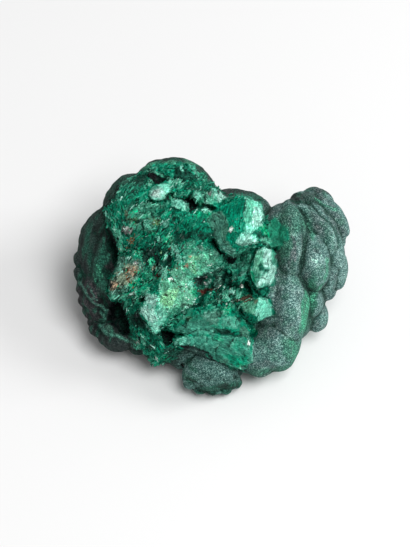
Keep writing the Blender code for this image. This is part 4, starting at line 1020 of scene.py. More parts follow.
    ("shade", 0.9, [(2.4, 0.6), (4.2, 0.6), (5.2, -0.8), (5.4, -2.6), (4, -2.4), (2.6, -1.4)]),
    ("emerald", 1, [(3.4, 1.4), (4.6, 2), (6, 1.6), (5, 0.9)]),
    ("green", 1, [(0, -5), (2, -3.6), (5, -3), (7.6, -3.2), (8.8, -4.4), (7.4, -5.2), (2, -7), (0, -6.6)]),
    ("emerald", 1, [(-1, -4.8), (-0.2, -3.9), (1.2, -3.8), (1.6, -4.6), (0.8, -5.6), (-1.6, -6.2),
        (-2, -5.6)]),
    ("mint", 0.6, [(4.4, -3.4), (5.6, -3.2), (5.4, -4.4), (4.8, -4.2)]),
    ("mint", 0.6, [(2.8, -3), (3.6, -3), (3.6, -4), (2.9, -4)]),
    ("mint", 0.7, [(4.2, -5), (4.8, -5.2), (4.8, -6.2), (4.3, -6)]),
    ("soft", 1, [(1.2, -5.4), (2.2, -5), (2.4, -6.4), (1.4, -6.2)]),
    ("rust", 0.7, [(5.6, -5.8), (7.4, -5.4), (9.2, -4.6), (10.4, -5.2), (10.2, -6), (8.4, -6.2),
        (6.8, -6.4)]),
    # the pale blocks on the right
    ("dull", 1, [(11.2, 6.4), (13, 7), (15, 7), (16, 5.6), (16.6, 3.6), (15.8, 0.6), (15.6, -1.2),
        (14.6, -2.4), (11.4, -3.2), (10, 0), (9.5, 1.3), (10.6, 2), (10.6, 4)]),
    ("soft", 1, [(9.5, 1.3), (10.6, 1.4), (13.2, 0.2), (11, -2), (10.2, -0.4)]),
    ("bright", 1, [(9.5, 1.3), (10.2, 1.3), (11.2, -1.6), (10.8, -1.8), (10, 0)]),
    ("pale", 1, [(13.2, 6.8), (15, 6.9), (15, 4), (14.6, 2.2), (13.2, 2.2), (13, 3.4)]),
    ("pale", 0.9, [(14.8, 3), (16.2, 2.4), (15.6, -1), (14.8, -2.4), (13.6, -1.6), (11.4, -3.1),
        (11.2, -2), (13.4, 0.2), (14.4, 1.2)]),
    ("slab", 0.7, [(10.6, 2), (10.8, 5), (11.4, 6.3), (12.8, 6.6), (13, 3.4), (12.2, 0.8)]),
    ("deep", 0.9, [(12, 3.4), (13.2, 2.6), (13.2, 1.4), (11.8, 1.6)]),
    # painted shade in a notch
    ("shade", 1, [(13, 1.8), (14.2, 1.6), (14.4, 1.2), (13.4, 1)]),
    ("soft", 1, [(15.2, 6.6), (16, 5.4), (16.4, 3.4), (15.6, 3)]),
    # painted shade around and under the green ball
    ("shade", 1, [(11.4, -3.2), (15.6, -2.4), (16, -4.8), (14.4, -6), (12, -5), (11, -4)]),
    ("deep", 1, [(11.8, -3.6), (13.8, -2.6), (14.9, -3.4), (14.2, -5.2), (12.8, -5)]),
    ("mint", 0.7, [(11.8, -5.2), (14, -6), (15, -7.6), (15.2, -9.4), (14.8, -9.9), (11.6, -11.2),
        (10.8, -10), (11.4, -7.4)]),
    ("pale", 0.15, [(11.2, -8), (12.6, -7.6), (12.4, -9.6), (11.4, -10.8), (10.8, -9.8)]),
    ("slab", 0.7, [(7, -7.4), (8.6, -6.2), (11.4, -6.2), (10.9, -8.6), (10.7, -10), (8.2, -8.6)]),
    ("deep", 1, [(5.6, -8), (7, -7.6), (9.6, -9.8), (10.8, -11), (9.4, -11.6), (6.2, -9.4)]),
    ("rust", 0.6, [(10.6, -5.8), (11.6, -5.6), (11.4, -6.8), (10.8, -6.8)]),
    # the ledges
    ("satin", 0.9, [(-9.4, -13.4), (-4, -11), (-2, -10.6), (0.6, -13), (1, -14.6), (-7, -14.4)]),
    ("olive", 0.4, [(-6.4, -10.2), (-5, -9.9), (-4.6, -10.8), (-5.6, -11.6)]),
    ("grey", 1, [(-2.6, -9.8), (-1, -9), (1.4, -8.6), (2.4, -9.4), (1.4, -12.6), (-0.6, -11.4)]),
    ("bright", 0.9, [(2.4, -8.2), (4.6, -7.2), (5.4, -7.8), (5.2, -9), (2.8, -9.4)]),
    ("dull", 0.5, [(2.4, -10.6), (4, -10), (6, -9.8), (7.2, -11), (7.4, -12.4), (6, -13), (2.6, -12.6)]),
    ("shade", 1, [(1.6, -13), (5, -13.2), (5.4, -14.2), (4.6, -14.9), (2.6, -14.9)]),
    ("satin", 1, [(-9, -16.6), (-7, -15.2), (0, -14.8), (8, -15.2), (9.6, -17.6), (10.2, -20),
        (9.4, -22.6), (7.4, -23.6), (5, -22.4), (1, -20.6), (-4, -17.4)]),
    ("grey", 0.9, [(7.2, -12.6), (8.4, -12.6), (9.4, -14), (9.4, -15.6), (7, -14.8)]),
    ("dull", 0.9, [(9, -14.8), (9.8, -14.6), (10, -16), (9.9, -17.4), (9.1, -17.6)]),
    ("bright", 1, [(10.4, -12.6), (11, -12.6), (11.4, -13.6), (11, -14.4), (10.4, -14.2)]),
    ("mint", 0.8, [(11.4, -15), (12, -15.4), (10.9, -18.4), (10.6, -21.4), (10.1, -21), (10.3, -17.4)]),
    ("emerald", 0.6, [(5, -16.4), (6, -15.8), (7.4, -16.2), (8, -17.4), (7.4, -18.6), (5.8, -18.8)]),
    ("bright", 0.8, [(0.8, -15.2), (2.2, -15), (3.2, -16), (2.6, -16.8), (1.2, -16)]),
    ("emerald", 0.9, [(3, -19.4), (7, -19.8), (9.2, -19.6), (9.4, -21.6), (8, -23.4), (6.8, -23.4),
        (4.4, -21)]),
    ("bright", 0.8, [(6.2, -21.6), (7.4, -21.4), (8, -22.4), (7.2, -23.2)]),
    ("grey", 0.8, [(2, -20.8), (4, -20.6), (4.6, -22), (2.2, -22)]),
    ("mint", 0.8, [(-9.2, -16.4), (-8.6, -15.4), (-7, -15.1), (-5.8, -15.6), (-6.2, -16.4), (-8.2, -16.9)]),
    ("green", 0.9, [(-8.6, -16), (-7.8, -15.6), (-6.8, -15.8), (-7, -16.2), (-8, -16.4)]),
    # painted shadow under the ledge's lower edge
    ("black", 1, [(-9, -17), (-5, -17), (-1, -18.8), (1.6, -21.2), (1.2, -21.4), (-2, -19.2), (-6, -18.6)]),
    ("dull", 0.2, [(-9, -13.4), (-4, -9.6), (0, -8), (4, -8.6), (5, -12), (1, -14.4), (-6, -14.2)]),
    ("dull", 0.15, [(-24, 19.4), (-22.4, 22.6), (-19, 24.2), (-16.8, 23.4), (-18, 20.4), (-21, 18.6)]),
    # the lower left
    # painted shade in the low hole
    ("black", 1, [(-13.4, -13.8), (-10, -13.8), (-8.8, -14.6), (-10, -17.2), (-11, -17.6), (-12, -16.8),
        (-12.2, -15.4)]),
    ("deep", 0.7, [(-20.6, -6), (-18, -7), (-16.8, -10), (-14, -15), (-17, -18), (-20.6, -17), (-21, -10)]),
    ("black", 0.8, [(-20, -9.6), (-18.6, -9.2), (-17.4, -10), (-16, -12.2), (-16.6, -13.6),
        (-19.4, -12.4)]),
    ("mint", 0.8, [(-16.7, -12), (-16.3, -12), (-14.9, -13.6), (-15.1, -13.8)]),
    ("soft", 1, [(-18, -15.2), (-16.6, -14.8), (-16.2, -16), (-16.6, -17.4), (-17.4, -16.6)]),
    ("pink", 0.7, [(-19.4, -15.9), (-18.4, -15.9), (-18.4, -16.8), (-19.2, -16.8)]),
    ("soft", 0.8, [(-20, -17.4), (-19.4, -16.8), (-18.2, -17.2), (-18.2, -18), (-19, -18.5)]),
    ("deep", 0.9, [(-15.4, -15), (-12.8, -15), (-12.6, -17), (-13.6, -17.6), (-15.4, -17.2)]),
    ("purple", 0.7, [(-16.4, -17.2), (-14, -17.2), (-14, -18.2), (-16, -18.2)]),
    ("slate", 0.7, [(-12, -18), (-9, -18.4), (-5, -18.4), (-5.4, -20.4), (-9, -20.6), (-12, -19.4)]),
    ("bright", 0.9, [(-11.8, -20), (-11.2, -19.4), (-10.2, -20), (-10.6, -21), (-11.6, -21)]),
    ("slate", 0.9, [(-9, -20.8), (-5.2, -20), (-5, -22), (-5.4, -23.6), (-6.6, -24), (-9.2, -22)]),
    ("black", 0.9, [(-11.6, -22), (-11, -21.6), (-7, -23), (-6, -24.6), (-8.4, -24), (-10, -23.2)]),
    # painted shade in the pits on the left
    ("black", 1, [(-25.8, -6.2), (-22, -6), (-21.2, -8.6), (-20.4, -11), (-20.2, -14), (-21, -16.4),
        (-23.8, -15), (-25.6, -13), (-26.4, -9)]),
    ("purple", 0.8, [(-19.8, -5.8), (-19, -5.6), (-18.8, -6.6), (-19.6, -6.9)]),
    ("purple", 0.6, [(-18.8, -9), (-17.6, -8.8), (-18, -10.4), (-19.2, -10.6)]),
]

# Small spots on it: tone, place (across, up), size. The white ones are painted glints.
faceSpots = [
    ("white", (4.9, 11.5), 0.45), ("white", (7.6, -2.3), 0.25), ("white", (7.7, -3.0), 0.2),
    ("white", (5.4, -6.6), 0.3), ("white", (4.1, -6.7), 0.2), ("white", (6.9, -5.7), 0.2),
    ("pale", (-9.9, 14.9), 0.3), ("yellow", (-12.5, 5.8), 0.3), ("rust", (-10.2, 6.7), 0.4),
    ("pale", (-8, 5.6), 0.4), ("ochre", (-20.4, 1.4), 0.4), ("ochre", (-18.6, 1.2), 0.3),
    ("white", (-18.9, 3.1), 0.35), ("black", (-23.7, -0.6), 0.35), ("white", (-10.1, -0.9), 0.45),
    ("black", (-9.4, -1.1), 0.4), ("black", (-11.2, -4.8), 0.35), ("black", (-7.7, -2.7), 0.3),
    ("tan", (-5.1, 4.9), 0.3), ("tan", (-5.8, 2.4), 0.45), ("white", (-1.3, -1.7), 0.35),
    ("pale", (-0.8, -2.2), 0.3), ("pink", (-1.2, -0.3), 0.3), ("pale", (-6.2, -7.7), 0.3),
    ("pale", (-6.9, -8.4), 0.3), ("pale", (-4.2, -6.6), 0.3), ("white", (9.6, -16.6), 0.4),
    ("white", (-13.8, -20.7), 0.35), ("pale", (-13, -9.6), 0.3), ("pale", (-12.6, -10.1), 0.3),
]

colouring = {
    "wander": ((1.5, 0.7), (0.5, 0.35)),  # size and reach of the noise that breaks up the edges on the skin
    "patchWander": ((1.4, 0.3), (0.5, 0.22)),  # the same on the broken face
    "patchEdge": 0.14,  # how soft a patch's edge is, in millimetres
    "lineEdge": (0.3, 1.2),  # where a line on the skin begins to fade and has gone, in half widths
    "facets": (0.1, 0.26, 0.3),  # how much each size of facet differs in brightness: painted light and shade, as if each facet were turned its own way to the light
    "streakSize": 0.9,
    "streakFlow": (0.22, 1, 0.4),  # how quickly the streaks change along, across and into the stone
    "lightStreaks": (0.1, 0.6, 0.8),  # the noise where they begin and are complete, and how strong they are
    "darkStreaks": (0.05, 0.6, 0.65),
    "velvetFrom": (8, 14),  # how far across the velvet begins and is complete
    "mottling": (("plum", 2.2, 0.55), ("velvetGreen", 1.7, 0.45)),  # tone, size and strength, on the velvet
    "fineMottling": (2.6, 0.5),  # how much smaller its finer noise is, and how strong
    "mottlingRange": (0.1, 0.7),  # the noise where it begins and is complete
    "skinGrain": ((1.1, 0.1), (0.45, 0.2)),  # size and strength
    "seeds": {"wander": 200, "face": 220, "lines": 240, "streaks": 260, "grain": 270, "mottling": 280},
}

# How the crystals lie: place, half sizes, turn, how grainy, how fibrous, and the fibres' angle
# or the point that they fan out from.
textures = [
    ((-4, 4), (30, 30), 0, 0.9, 0.6, 52),
    ((-12, 27), (9, 3.4), 15, 0.8, 1, 46),
    ((-17, 16), (7, 5), 0, 0.8, 1, 52),
    ((-24, 12), (3, 7), 0, 0.7, 1, 105),
    ((-5, 12), (6, 4), 0, 0.8, 0.8, 60),
    ((-13, 20.8), (3, 2.4), 20, 0.4, 0.6, 25),
    ((0, 19.6), (4.6, 2.8), -20, 0.6, 0.6, 70),
    ((6.6, 13), (8.4, 8.4), 0, 0.45, 1.3, (5.6, 3.6)),
    ((13.6, 2), (3.4, 5.4), 0, 0.4, 0.9, 72),
    ((17, 10.4), (3, 4.4), 0, 0.3, 0.3, 60),
    ((12.4, -8), (3.6, 3.4), 0, 0.4, 0.6, 50),
    ((-8.5, -4), (7, 5.6), 45, 1.0, 0, 0),
    ((-3, 3.6), (5, 4.2), 0, 1.0, 0, 0),
    ((-14.6, -9.6), (3, 5.4), 20, 0.5, 0.6, 45),
    ((-16, -15), (5, 7), 0, 0.8, 0.8, 120),
    ((-1, -12), (11, 4), 0, 0.4, 0.5, 12),
    ((1.6, -18), (11, 5), -20, 0.35, 1, -25),
]

fibreFlow = {
    "stretch": (0.18, 1, 0.5),  # how quickly the fibres change along, across and into the stone
    "fan": 9,  # how many millimetres of fibres a turn of one radian in a fan stands for
}

# Painted shade darkens the tone in hollows, creases and on the velvet lobes' flanks, and painted highlights
# lighten the lobes' crowns and the broken face's edges. The ranges say how many millimetres a point lies
# behind or before its smoothed surroundings where the change begins and where it is complete.
shading = {
    "rounds": {"near": 6, "middle": 20, "wide": 60, "lobes": 240},  # how often the surroundings are smoothed
    "slab": ((-7, -1.4), (12.6, 6), 45),  # place, half sizes and turn of the slab, which gets less painted shade
    "creaseShade": (0.01, 0.1),
    "creaseDark": (0.6, 0.15, 0.5),  # painted shade in creases: strength, more on the broken face, and the share less on the slab
    "skinValley": (0.02, 0.16),
    "skinValleyDark": (0.6, 0.6),  # painted shade in the skin's valleys: strength, and brightness of the shade tone in it
    "valley": (0.03, 0.45),
    "valleyDark": (0.7, 0.35, 0.7, 0.7),  # painted shade in wide hollows: strength, less on the broken face, less on the slab, brightness
    "velvetFrom": (6, 14),  # how far across the next two begin and are complete
    "flank": (-0.4, 0.4),
    "flankShadeTones": (0.4, 0.35, 0.45),  # painted shade on the velvet lobes' flanks: strength, and brightness of the green and the plum in it
    # painted highlight on the velvet lobes' crowns
    "crownHighlight": (0.2, 1.2),
    "crownLight": 0.15,
    "edge": (0.03, 0.16),
    "edgeTones": (0.12, 0.4),  # painted highlights on edges are only on tones whose green is above these
    "edgeLight": 0.5,
}


def linear(name):  # a tone as light adds up, from 0 to 1
    parts = np.array(tones[name]) / 255
    return np.where(parts <= 0.04045, parts / 12.92, ((parts + 0.055) / 1.055) ** 2.4)


def blend(colours, share, colour):  # moves the colours towards another one
    colours += share[:, None] * (colour - colours)


def wandering(points, waves, seed):  # where each point is looked up, as across and up
    across = points[:, 0].copy()
    up = points[:, 1].copy()
    for k, (size, reach) in enumerate(waves):
        across += softNoise(points, size, seed + 2 * k) * reach
        up += softNoise(points, size, seed + 2 * k + 1) * reach
    return across, up


def addStreaks(colours, points, across, up):
    for k, (place, halfSizes, turn, direction, tone) in enumerate(skinStreaks):
        along, beside = turned(points[:, 0], points[:, 1], direction)
        flow = np.stack([along, beside, points[:, 2]], axis=1) * colouring["streakFlow"]
        lines = softNoise(flow, colouring["streakSize"], colouring["seeds"]["streaks"] + k)
        share = spotShare(across, up, place, halfSizes, turn)
        low, high, strength = colouring["lightStreaks"]
        blend(colours, smoothStep(lines, low, high) * share * strength, linear(tone))
        low, high, strength = colouring["darkStreaks"]
        colours *= (1 - strength * share * smoothStep(-lines, low, high))[:, None]


def addMottling(colours, points):
    finer, fineShare = colouring["fineMottling"]
    velvety = smoothStep(points[:, 0], *colouring["velvetFrom"])
    for k, (tone, size, strength) in enumerate(colouring["mottling"]):
        seed = colouring["seeds"]["mottling"] + 2 * k
        cloud = softNoise(points, size, seed)
        cloud += fineShare * softNoise(points, size / finer, seed + 1)
        blend(colours, smoothStep(cloud, *colouring["mottlingRange"]) * velvety * strength, linear(tone))


def paintSkin(points):
    across, up = wandering(points, colouring["wander"], colouring["seeds"]["wander"])
    colours = np.tile(linear("shell"), (len(points), 1))
    for tone, place, halfSizes, turn, strength in skinDabs:
        blend(colours, spotShare(across, up, place, halfSizes, turn) * strength, linear(tone))
    addStreaks(colours, points, across, up)
    addMottling(colours, points)
    across, up = wandering(points, colouring["patchWander"], colouring["seeds"]["lines"])
    fadeFrom, fadeTo = colouring["lineEdge"]
    for tone, strength, width, _, line in skinLines:
        away = lineDistance(across, up, line)
        blend(colours, (1 - smoothStep(away, width * fadeFrom, width * fadeTo)) * strength, linear(tone))
    for k, (size, strength) in enumerate(colouring["skinGrain"]):
        colours *= np.exp(softNoise(points, size, colouring["seeds"]["grain"] + k) * strength)[:, None]
    return colours


def paintFace(points):
    across, up = wandering(points, colouring["patchWander"], colouring["seeds"]["face"])
    colours = np.tile(linear("emerald"), (len(points), 1))
    soft = colouring["patchEdge"]
    for tone, strength, corners in facePatches:
        low = np.min(corners, axis=0) - soft
        high = np.max(corners, axis=0) + soft
        near = np.flatnonzero((across > low[0]) & (across < high[0]) & (up > low[1]) & (up < high[1]))
        share = smoothStep(outlineDistance(across[near], up[near], corners), -soft, soft) * strength
        colours[near] += share[:, None] * (linear(tone) - colours[near])
    for tone, place, size in faceSpots:
        blend(colours, spotShare(across, up, place, (size, size), 0), linear(tone))
    return colours


def fibresAt(points):  # how grainy and how fibrous each point is, its place on the fibres, and their angle
    grainy = np.ones(len(points))
    fibrous = np.zeros(len(points))
    flow = points.copy()
    turns = np.zeros(len(points))
    for place, halfSizes, turn, grains, fibres, direction in textures:
        share = spotShare(points[:, 0], points[:, 1], place, halfSizes, turn, spotEdge["crystals"])
        grainy += share * (grains - grainy)
        fibrous += share * (fibres - fibrous)
        inside = share > 0.5
        if isinstance(direction, tuple):
            dAcross = points[:, 0] - direction[0]
            dUp = points[:, 1] - direction[1]
            here = np.arctan2(dUp, dAcross)
            along, beside = np.hypot(dAcross, dUp), here * fibreFlow["fan"]
        else:
            here = math.radians(direction)
            along, beside = turned(points[:, 0], points[:, 1], direction)
        flow[inside] = (np.stack([along, beside, points[:, 2]], axis=1) * fibreFlow["stretch"])[inside]
        turns = np.where(inside, here, turns)
    return grainy, fibrous, flow, turns


def stoneColours(points, broken, facetShades):
    faceColours = paintFace(points)
    # painted light and shade on each facet, as if it were turned its own way to the light
    for strength, shade in zip(colouring["facets"], facetShades):
        faceColours *= np.exp(shade * strength)[:, None]
    skinColours = paintSkin(points)
    return skinColours + broken[:, None] * (faceColours - skinColours)


def bulging(mesh, rounds):  # how far each point stands out of its smoothed surroundings, in millimetres
    ends = fetch(mesh.edges, "vertices", 2, np.int32)
    count = np.bincount(ends.ravel(), minlength=len(mesh.vertices))
    start = positions(mesh)
    smooth = start.copy()
    for _ in range(rounds):
        total = np.zeros_like(smooth)
        for axis in range(3):
            total[:, axis] = np.bincount(ends[:, 0], smooth[ends[:, 1], axis], len(smooth))
            total[:, axis] += np.bincount(ends[:, 1], smooth[ends[:, 0], axis], len(smooth))
        smooth = 0.5 * smooth + 0.5 * total / np.maximum(count, 1)[:, None]
    return ((start - smooth) * directions(mesh)).sum(axis=1) / layout["mm"]


def addShading(colours, mesh, points, broken):
    out = {name: bulging(mesh, rounds) for name, rounds in shading["rounds"].items()}
    slab = spotShare(points[:, 0], points[:, 1], *shading["slab"]) * broken
    # painted shade in narrow creases
    strength, more, less = shading["creaseDark"]
    creaseShade = smoothStep(-out["near"], *shading["creaseShade"]) * (strength + more * broken) * (1 - less * slab)
    colours *= (1 - creaseShade)[:, None]
    # painted shade in the skin's valleys, then in wide hollows
    strength, brightness = shading["skinValleyDark"]
    valley = smoothStep(-out["middle"], *shading["skinValley"]) * strength * (1 - broken)
    blend(colours, valley, linear("shade") * brightness)
    strength, less, slabLess, brightness = shading["valleyDark"]
    valley = smoothStep(-out["wide"], *shading["valley"]) * (strength - less * broken) * (1 - slabLess * slab)
    blend(colours, valley, linear("shade") * brightness)
    # painted shade on the velvet lobes' flanks and painted highlight on their crowns
    velvety = (1 - broken) * smoothStep(points[:, 0], *shading["velvetFrom"])
    strength, green, plum = shading["flankShadeTones"]
    flank = smoothStep(-out["lobes"], *shading["flank"]) * velvety * strength
    blend(colours, flank, linear("velvetGreen") * green + linear("plum") * plum)
    colours *= 1 + (smoothStep(out["lobes"], *shading["crownHighlight"]) * shading["crownLight"] * velvety)[:, None]
    # painted highlights on the broken face's sharp edges
    edge = smoothStep(out["near"], *shading["edge"]) * broken
    edge = edge * smoothStep(colours[:, 1], *shading["edgeTones"]) * shading["edgeLight"]
    blend(colours, edge, linear("pale"))


def colourStone(item):
    mesh = item.data
    points = toFace(positions(mesh))
    broken = kept(mesh, "broken")
    colours = stoneColours(points, broken, [kept(mesh, "facet%d" % k) for k in range(len(relief["facets"]))])
    addShading(colours, mesh, points, broken)
    # the tone holds the painted shade and highlights along with the stone's own colours
    keep(mesh, "tone", colours)
    grainy, fibrous, flow, _ = fibresAt(points)
    keep(mesh, "grainy", grainy)
    keep(mesh, "fibrous", fibrous * broken)
    keep(mesh, "flow", flow)
    smoothFaces = broken[firstCorners(mesh)] < 0.5
    mesh.polygons.foreach_set("use_smooth", smoothFaces)
    mesh.update()
    return smoothFaces


def newMaterial(name, values):
    made = bpy.data.materials.new(name)
    made.use_nodes = True
    shader = made.node_tree.nodes["Principled BSDF"]
    for socket, value in values.items():
        shader.inputs[socket].default_value = value
    return made, made.node_tree, shader


def newNode(tree, kind, inputs, **settings):
    made = tree.nodes.new(kind)
    for name, value in settings.items():
        setattr(made, name, value)
    for name, value in inputs.items():
        if isinstance(value, bpy.types.NodeSocket):
            tree.links.new(value, made.inputs[name])
        else:
            made.inputs[name].default_value = value
    return made


def rangeOf(tree, value, fromMin, fromMax, toMin, toMax):
    inputs = {"Value": value, "From Min": fromMin, "From Max": fromMax, "To Min": toMin, "To Max": toMax}
    return newNode(tree, "ShaderNodeMapRange", inputs).outputs["Result"]


def mathOf(tree, operation, first, second):
    return newNode(tree, "ShaderNodeMath", {0: first, 1: second}, operation=operation).outputs[0]


def vectorOf(tree, operation, inputs):
    return newNode(tree, "ShaderNodeVectorMath", inputs, operation=operation).outputs[0]


def noiseOf(tree, place, size, detail):
    inputs = {"Vector": place, "Scale": 1 / size, "Detail": detail}
    return newNode(tree, "ShaderNodeTexNoise", inputs).outputs["Fac"]


def keptOf(tree, name, output):  # what is kept on the vertices
    return newNode(tree, "ShaderNodeAttribute", {}, attribute_name=name).outputs[output]


grainLook = {  # what the velvet and the crystals share
    "fine": (0.3, 0.7, 0.7, 1.3),  # the fine noise from and to which, and the brightness that it gives
    "detail": 1.0,
    "roundness": -0.6,  # how far a grain falls away from its middle
    "red": 1.3,  # above 1, bright grains turn greyer than the tone and dark ones greener
}
skinLook = {
    "grain": 0.2,  # millimetres across a grain of the velvet
    "fineGrain": 0.13,
    "contrast": (0.44, 2.9),  # how dark and how bright single grains are
    "rarity": 2.8,  # how few of the grains are bright
    "bump": {"Strength": 0.8, "Distance": 0.00025},
    "shader": {"Roughness": 0.85, "Specular IOR Level": 0.12, "Sheen Weight": 0.06, "Sheen Roughness": 0.5,
               "Sheen Tint": (0.6, 0.8, 0.75, 1)},
}
breakLook = {
    "grain": 0.34,  # millimetres across a grain of the broken crystals
    "fineGrain": 0.2,
    "contrast": (0.55, 1.9),
    "rarity": 1.7,
    "strand": 0.3,  # millimetres across a fibre
    "strandDetail": 2.0,
    "strandContrast": (0.3, 0.7, 0.62, 1.5),  # the noise from and to which, and the brightness that it gives
    "tilt": 0.35,  # how far single grains turn from the surface, which makes them glint
    "roughness": (0.0, 1.0, 0.2, 0.7),  # the chance from and to which, and the roughness that it gives
    "bump": {"Strength": 0.6, "Distance": 0.00015},
    "shader": {"Specular IOR Level": 0.06},
}
crystalLook = {
    "grain": 0.2,  # millimetres across the clouds in the loose crystals
    "brightness": (0.3, 0.7, 0.75, 1.3),  # the noise from and to which, and what it gives
    "roughness": (0.3, 0.7, 0.18, 0.5),
    "shader": {"Specular IOR Level": 0.12},
}


def grainNodes(tree, look):  # brightness and height of the grains, their own directions, and their chances
    place = newNode(tree, "ShaderNodeTexCoord", {}).outputs["Object"]
    scale = 1 / (look["grain"] * layout["mm"])
    grains = newNode(tree, "ShaderNodeTexVoronoi", {"Vector": place, "Scale": scale})
    chances = newNode(tree, "ShaderNodeSeparateColor", {"Color": grains.outputs["Color"]})
    fine = noiseOf(tree, place, look["fineGrain"] * layout["mm"], grainLook["detail"])
    rare = mathOf(tree, "POWER", chances.outputs[0], look["rarity"])
    bright = rangeOf(tree, rare, 0.0, 1.0, *look["contrast"])
    bright = mathOf(tree, "MULTIPLY", bright, rangeOf(tree, fine, *grainLook["fine"]))
    height = mathOf(tree, "MULTIPLY", grains.outputs["Distance"], grainLook["roundness"])
    return bright, mathOf(tree, "ADD", height, fine), grains.outputs["Color"], chances.outputs[1]


def tonedBy(tree, bright):  # the tone on the vertices, made brighter or darker
    red = mathOf(tree, "POWER", bright, grainLook["red"])
    shares = newNode(tree, "ShaderNodeCombineXYZ", {"X": red, "Y": bright, "Z": bright}).outputs[0]
    return vectorOf(tree, "MULTIPLY", {0: keptOf(tree, "tone", "Color"), 1: shares})


def addBump(tree, shader, inputs):
    bump = newNode(tree, "ShaderNodeBump", inputs)
    tree.links.new(bump.outputs["Normal"], shader.inputs["Normal"])


def makeSkinMaterial():  # velvety: matt, with dark and bright grains
    made, tree, shader = newMaterial("velvet", skinLook["shader"])
    bright, height, _, _ = grainNodes(tree, skinLook)
    tree.links.new(tonedBy(tree, bright), shader.inputs["Base Color"])
    addBump(tree, shader, {"Height": height, **skinLook["bump"]})
    return made


def makeBreakMaterial():  # crystals: each grain turned its own way, some of them glossy
    made, tree, shader = newMaterial("brokenCrystals", breakLook["shader"])
    bright, height, turns, chance = grainNodes(tree, breakLook)
    strands = noiseOf(tree, keptOf(tree, "flow", "Vector"), breakLook["strand"], breakLook["strandDetail"])
    fibrous = keptOf(tree, "fibrous", "Fac")
    bright = mathOf(tree, "POWER", bright, keptOf(tree, "grainy", "Fac"))
    strandBright = mathOf(tree, "POWER", rangeOf(tree, strands, *breakLook["strandContrast"]), fibrous)
    tree.links.new(tonedBy(tree, mathOf(tree, "MULTIPLY", bright, strandBright)), shader.inputs["Base Color"])
    height = mathOf(tree, "ADD", height, mathOf(tree, "MULTIPLY", strands, fibrous))
    centred = vectorOf(tree, "SUBTRACT", {0: turns, 1: (0.5, 0.5, 0.5)})
    tilted = vectorOf(tree, "SCALE", {0: centred, "Scale": breakLook["tilt"]})
    normal = newNode(tree, "ShaderNodeNewGeometry", {}).outputs["Normal"]
    normal = vectorOf(tree, "NORMALIZE", {0: vectorOf(tree, "ADD", {0: normal, 1: tilted})})
    addBump(tree, shader, {"Height": height, "Normal": normal, **breakLook["bump"]})
    tree.links.new(rangeOf(tree, chance, *breakLook["roughness"]), shader.inputs["Roughness"])
    return made


def makeCrystalMaterial():  # glassy little faces
    made, tree, shader = newMaterial("crystal", crystalLook["shader"])
    place = newNode(tree, "ShaderNodeTexCoord", {}).outputs["Object"]
    cloud = noiseOf(tree, place, crystalLook["grain"] * layout["mm"], grainLook["detail"])
    bright = rangeOf(tree, cloud, *crystalLook["brightness"])
    tree.links.new(tonedBy(tree, bright), shader.inputs["Base Color"])
    tree.links.new(rangeOf(tree, cloud, *crystalLook["roughness"]), shader.inputs["Roughness"])
    return made


skinMaterial = makeSkinMaterial()
breakMaterial = makeBreakMaterial()
for piece in (stone, brokenFace):
    smoothFaces = colourStone(piece)
    piece.data.materials.clear()
    piece.data.materials.append(skinMaterial)
    piece.data.materials.append(breakMaterial)
    piece.data.polygons.foreach_set("material_index", (~smoothFaces).astype(np.int32))
    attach(piece, "root")
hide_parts("malachite")
print("stone: coloured")


# Loose crystals on the broken face: small boxes that narrow towards one end.
crystals = {
    "splinters": {
        "count": 6500,
        "sizes": (0.3, 0.88),  # half length in millimetres
        "slimness": (0.12, 0.26),  # half width as a share of the half length
        "lift": 0.02,  # how far the middle stands above the surface, as a share of the half length
        "along": 1.0,  # how much they follow the fibres
        "upright": 0.22,  # how much they follow the surface's outward direction
        "stray": 0.28,
        "shades": 0.24,  # how much they differ in brightness
        "everywhere": 1.0,  # how thickly they grow outside the spots
        "spots": [  # place, half sizes, turn, how thickly they grow
            ((6.4, 13), (8.4, 8.4), 0, 0.03), ((13.4, -1), (4, 11), 0, 0.08), ((17, 10.4), (3, 4.4), 0, 0.02),
            ((1, -14.5), (12, 8.6), -10, 0.05), ((-9, -4), (8, 6), 45, 0.1),
            ((-14.6, -9.6), (3, 5.4), 20, 0.2), ((-3, 4.4), (5, 4.6), 0, 0.1),
            ((-13, 20.8), (3, 2.4), 20, 0.02), ((0, 19.6), (4, 2.4), -20, 0.1),
            ((-8, 17.6), (2.4, 2), 0, 0.02),
        ],
        "seed": 5,
    },
    "druse": {
        "count": 13000,
        "sizes": (0.1, 0.21),
        "slimness": (0.6, 1.0),
        "lift": 0.3,
        "along": 0.0,
        "upright": 1.0,
        "stray": 1.0,
        "shades": 0.22,
        "everywhere": 0.06,
        "spots": [
            ((-9, -4), (7.6, 5.6), 45, 1.0), ((-3, 3.8), (5, 4), 0, 1.0), ((-20, 0), (5, 5), 0, 0.35),
            ((-14, 10), (7, 5), 0, 0.35), ((-14.6, -9.6), (3, 5.4), 20, 0.2), ((3, -3), (7, 4), 0, 0.3),
        ],
        "seed": 6,
    },
}
crystalForm = {  # the same for both kinds
    "lowest": 2.5,  # millimetres above the ground, below which none grow
    "pressedFlat": 0.8,  # how much of a fibre's rise out of the surface is taken away
    "thinness": (0.5, 1),  # half thickness as a share of the half width
    "taper": (0.15, 0.9),  # how wide the narrow end is
    "unevenness": 0.22,  # how far single corners stray
    "darkest": 0.5,  # a share of the shade tone, darker than which none is before they differ in brightness
}
# Flecks among them: tone, place, half sizes, and how many of the crystals there have it.
flecks = [
    ("pale", (-4, 2), (30, 32), 0.02),
    ("black", (-4, 2), (30, 32), 0.03),
    # painted glints
    ("white", (-2, -1), (9, 6), 0.01),
    ("rust", (4, -4), (8, 3), 0.04),
    ("ochre", (-19.6, 4), (3.4, 8), 0.04),
    ("bright", (-14, 8), (13, 14), 0.04),
    ("ochre", (-8, 0), (4, 4), 0.02),
]

